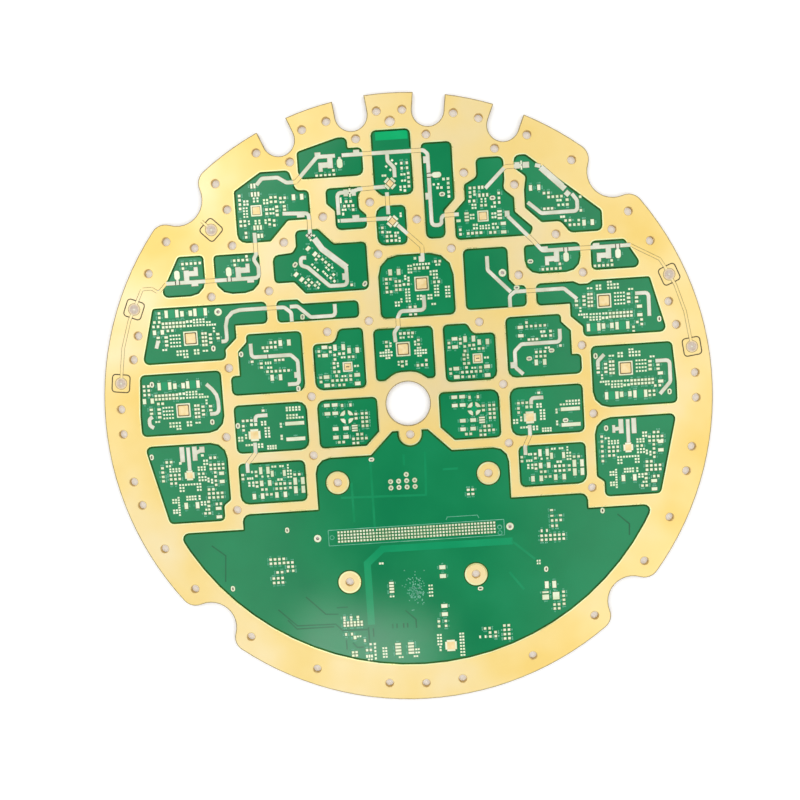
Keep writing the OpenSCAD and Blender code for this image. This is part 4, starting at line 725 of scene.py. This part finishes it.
def chip_trim():
    """Pale edges of the chip paddles, where the thin plating shows, and the dark grooves inside them."""
    edges, deep_grooves, grooves = bmesh.new(), bmesh.new(), bmesh.new()
    for spot in ringed_chips:
        square_frame(edges, ring_side, 0, spot, ring_w, copper_top + skin)
        square_frame(deep_grooves, ring_gap_side, 0, spot, ring_gap_w, laminate_top + skin)
    for x, y, side in square_chips:
        square_frame(edges, side - square_edge_w, 0, (x, y), square_edge_w, copper_top + skin)
        square_frame(grooves, side - square_groove_inset, 0, (x, y), square_groove_w, copper_top + skin)
    for x, y, bar, overall, turn in eared_chips:
        reach = (overall - bar) / 2
        for quarter in range(4):
            ear = turned(rectangle(reach, bar), 0, (overall / 2 - reach / 2, 0))
            corners = turned(turned(ear, 90 * quarter, (0, 0)), turn, (x, y))
            edges.faces.new([
                edges.verts.new((u * MM, v * MM, (copper_top + skin) * MM)) for u, v in corners
            ])
        if turn:
            square_frame(grooves, bar + eared_groove_gap, turn, (x, y), eared_groove_w, copper_top + 2 * skin)
    finish_piece("paddle_edges", edges, pale_pad)
    finish_piece("paddle_ring_gaps", deep_grooves, paddle_groove)
    finish_piece("paddle_grooves", grooves, paddle_groove)


def pad_boxes():
    """Middle, width and height of every pad of the component circuits, in millimetres."""
    sheet = bmesh.new()
    sheet.from_mesh(nodes["component_pads"].data)
    bmesh.ops.remove_doubles(sheet, verts=sheet.verts, dist=weld)
    seen, boxes = set(), []
    for vert in sheet.verts:
        if vert in seen:
            continue
        seen.add(vert)
        island, open_ends = [vert], [vert]
        while open_ends:
            for side in open_ends.pop().link_edges:
                for other in side.verts:
                    if other not in seen:
                        seen.add(other)
                        island.append(other)
                        open_ends.append(other)
        xs, ys = [v.co.x / MM for v in island], [v.co.y / MM for v in island]
        boxes.append(((min(xs) + max(xs)) / 2, (min(ys) + max(ys)) / 2,
                      max(xs) - min(xs), max(ys) - min(ys)))
    sheet.free()
    return sorted(boxes)


mark_counts = (2, 4)  # fewest and most strokes in a row
mark_lengths = (0.4, 0.6, 0.6)
mark_w = 0.2
mark_pitch = 0.4
mark_gap = 0.65  # from the pad to the middle of the row
mark_reach = 0.3  # how far round its middle a stroke needs mask under it
row_reach = 1  # how far round its ends a row keeps off the ground copper
unprinted = 0.3  # share of the rows that are left out
# specks of ink in the middle of the lower compartment
speck_count = 150
speck_side = 0.35
speck_middle = (-1.5, -75)
speck_spread = (2, 3)


def around(spot, reach):
    return [(spot[0] + du, spot[1] + dv) for du in (-reach, reach) for dv in (-reach, reach)]


def legend_marks():
    """Short printed strokes beside the pads, in rows of two to four: plain marks, no letters."""
    chance = random.Random(7)
    strokes, taken = [], set()
    for (x, y, w, h), side in [(box, side) for box in pad_boxes() for side in range(4)]:
        across = side % 2 == 0
        way = 1 if side < 2 else -1
        count = chance.randint(*mark_counts)
        lengths = [chance.choice(mark_lengths) for _ in range(count)]
        if chance.random() < unprinted:
            continue
        middle = (x + way * (w / 2 + mark_gap), y) if across else (x, y + way * (h / 2 + mark_gap))
        steps = [mark_pitch * (k - (count - 1) / 2) for k in range(count)]
        spots = [(middle[0], middle[1] + step) if across else (middle[0] + step, middle[1]) for step in steps]
        squares = {square_at(*spot) for spot in spots}
        if squares & taken or squares & pad_squares:
            continue
        corners = around(spots[0], row_reach) + around(spots[-1], row_reach)
        if any(on_top(ground_tree, u, v, copper_top) for u, v in corners):
            continue
        taken |= squares
        for spot, length in zip(spots, lengths):
            if all(on_top(mask_tree, *corner, mask_top) for corner in around(spot, mark_reach)):
                stroke = rectangle(length, mark_w) if across else rectangle(mark_w, length)
                strokes.append(turned(stroke, 0, spot))
    for _ in range(speck_count):
        spot = [chance.gauss(middle, spread) for middle, spread in zip(speck_middle, speck_spread)]
        strokes.append(turned(rectangle(speck_side, speck_side), 0, spot))
    patches("legend_marks", strokes, mask_top + 1.5 * skin, legend_ink, "pale_pad")


fine_pads()
painted_mask_edges()
hole_walls("screw_hole_walls", screw_hole_area, drilled_wall, hole_lip)
hole_walls("ringed_hole_plating", ringed_hole_area, plated_wall)
hole_walls("oval_slot_plating", oval_slot_area, plated_wall)
ribbons("gold_crossings", line_crossings, line_w, copper_top + skin, immersion_gold)
ribbons("gold_rim_lines", rim_crossings, thin_line_w, copper_top + skin, immersion_gold)
# the launch gaps are painted shade: dark rings laid on the copper
ribbons("launch_gaps", [turned(rounded_square, turn, (x, y)) for x, y, turn in launches], launch_gap_w,
        copper_top + skin / 2, slot_shade_paint, closed=True)
launch_spots = [(x, y) for x, y, _ in launches]
patches("launch_rims", circles(launch_spots, launch_rim_r), copper_top + skin, contact_rim, "pale_line")
patches("launch_contacts", circles(launch_spots, launch_contact_r), copper_top + 2 * skin, contact_face,
        "pale_line")
patches("launch_centres", circles(launch_spots, launch_centre_r, launch_centre_steps),
        copper_top + 3 * skin, silvered_line, "pale_line")
# the slots across the lines are painted shade: dark patches laid on the copper
patches("line_slots", [turned(rectangle(w, h), turn, (x, y)) for x, y, w, h, turn in line_slots],
        copper_top + skin, slot_shade_paint, "laminate")
chip_trim()
# round each standoff land: a pale line of painted highlight inside its rim, and a dark line of film and
# painted shade on the mask outside it
ribbons("standoff_painted_highlights", circles(standoffs, standoff_land_r - standoff_highlight_w / 2), standoff_highlight_w,
        copper_top + skin, edge_highlight_paint, closed=True)
ribbons("standoff_painted_mask_edges", circles(standoffs, standoff_land_r + standoff_shade_line_shift), standoff_shade_line_w,
        mask_top + skin, edge_film_and_shade, closed=True)
patches("clear_mask_window", [turned(rectangle(*window_size), 0, window_place)], mask_top + skin,
        clear_mask, "bright_mask")
ribbons("dark_tracks", dark_tracks, track_w, mask_top + skin / 2, buried_track)
ribbons("pale_tracks", pale_tracks, pale_track_w, mask_top + skin / 2, buried_copper)
ribbons("connector_outline", connector_lines, connector_line_w, mask_top + skin, legend_ink)
ribbons("connector_rings", circles(connector_rings, connector_ring_r), connector_ring_w,
        mask_top + skin, legend_ink, closed=True)
legend_marks()


# Stage: a white bench top with a soft studio above it

bench_half = 2  # metres
bench_drop = 0.00005  # metres by which the bench lies under the board's back
camera_lift = 0.09  # glow that only the camera sees, which makes the card plain white


def bench_material():
    """Matt white card: plain white to the eye, with the board's soft shadow still on it."""
    material = bpy.data.materials.new("white_card")
    material.use_nodes = True
    tree = material.node_tree
    card = tree.nodes["Principled BSDF"]
    card.inputs["Base Color"].default_value = linear("#FDFDFD")
    card.inputs["Roughness"].default_value = 0.85
    card.inputs["Specular IOR Level"].default_value = 0.2
    card.inputs["Emission Color"].default_value = linear("#FFFFFF")
    seen = add_node(tree, "ShaderNodeLightPath").outputs["Is Camera Ray"]
    lift = add_node(tree, "ShaderNodeMath", {"operation": "MULTIPLY"}, {1: camera_lift}, {0: seen})
    tree.links.new(lift.outputs["Value"], card.inputs["Emission Strength"])
    return material


bench = bpy.data.objects.new("bench", bpy.data.meshes.new("bench"))
bench_corners = [(u * bench_half, v * bench_half, 0) for u, v in ((-1, -1), (1, -1), (1, 1), (-1, 1))]
bench.data.from_pydata(bench_corners, [], [(0, 1, 2, 3)])
bench.data.materials.append(bench_material())
bench.location.z = -bench_drop
bpy.context.scene.collection.objects.link(bench)


strip_edge = (0.08, 0.24)  # lean of a ray to the side, over its rise, where the strip fades out
sky_strength = (0.1, 1.03)  # in the strip and beside it


def studio_world():
    """White all round, with a dark strip overhead, where the photographer leans over the board."""
    world = bpy.data.worlds.new("studio")
    world.use_nodes = True
    tree = world.node_tree
    way = add_node(tree, "ShaderNodeTexCoord").outputs["Generated"]
    parts = add_node(tree, "ShaderNodeSeparateXYZ", links={"Vector": way})
    lean = add_node(tree, "ShaderNodeMath", {"operation": "DIVIDE"},
                    links={0: parts.outputs["X"], 1: parts.outputs["Z"]})
    aside = add_node(tree, "ShaderNodeMath", {"operation": "ABSOLUTE"}, links={0: lean.outputs["Value"]})
    open_sky = add_node(tree, "ShaderNodeMapRange", {"interpolation_type": "SMOOTHSTEP"},
                        {"From Min": strip_edge[0], "From Max": strip_edge[1],
                         "To Min": sky_strength[0], "To Max": sky_strength[1]},
                        {"Value": aside.outputs["Value"]})
    tree.links.new(open_sky.outputs["Result"], tree.nodes["Background"].inputs["Strength"])
    tree.nodes["Background"].inputs["Color"].default_value = linear("#FFFFFF")
    return world


bpy.context.scene.world = studio_world()


def softbox(name, place, size, power):
    light = bpy.data.lights.new(name, "AREA")
    light.shape = "RECTANGLE"
    light.size, light.size_y = size
    light.energy = power
    lamp = bpy.data.objects.new(name, light)
    lamp.location = place
    lamp.rotation_euler = (-Vector(place)).to_track_quat("-Z", "Y").to_euler()
    bpy.context.scene.collection.objects.link(lamp)


# places and sizes in metres, power in watts
softbox("key_softbox", place=(-0.4, 0.48, 0.92), size=(0.6, 0.6), power=1.25)
softbox("fill_softbox", place=(0.6, -0.65, 0.9), size=(0.7, 0.5), power=1.1)
softbox("side_card", place=(0.62, 0.42, 0.9), size=(0.6, 0.6), power=0.55)
softbox("window_glint", place=(-0.1, -0.46, 0.9), size=(0.22, 0.13), power=0.33)


# Camera: 0.3 m above the board, leaning a little towards its upper edge

picture_side_px = 800
picture_shift_px = (-8.18, 3.51)  # how far the picture's middle lies from where the camera looks
sensor_mm = 36
lens_mm = 34.21
nearest = 0.01  # metres
camera_place = Vector((0.00236, 0.0195, 0.30106))
roll = math.radians(3.724)

camera_data = bpy.data.cameras.new("camera")
camera_data.sensor_width = sensor_mm
camera_data.lens = lens_mm
camera_data.shift_x = picture_shift_px[0] / picture_side_px
camera_data.shift_y = picture_shift_px[1] / picture_side_px
camera_data.clip_start = nearest
camera = bpy.data.objects.new("camera", camera_data)
towards = (camera_place - Vector((0, 0, copper_top * MM))).normalized()
right = Vector((math.sin(roll), math.cos(roll), 0)).cross(towards).normalized()
upward = towards.cross(right)
camera_turn = Matrix((right, upward, towards)).transposed().to_4x4()
camera.matrix_world = Matrix.Translation(camera_place) @ camera_turn
bpy.context.scene.collection.objects.link(camera)
bpy.context.scene.camera = camera
bpy.context.scene.view_settings.view_transform = "Standard"
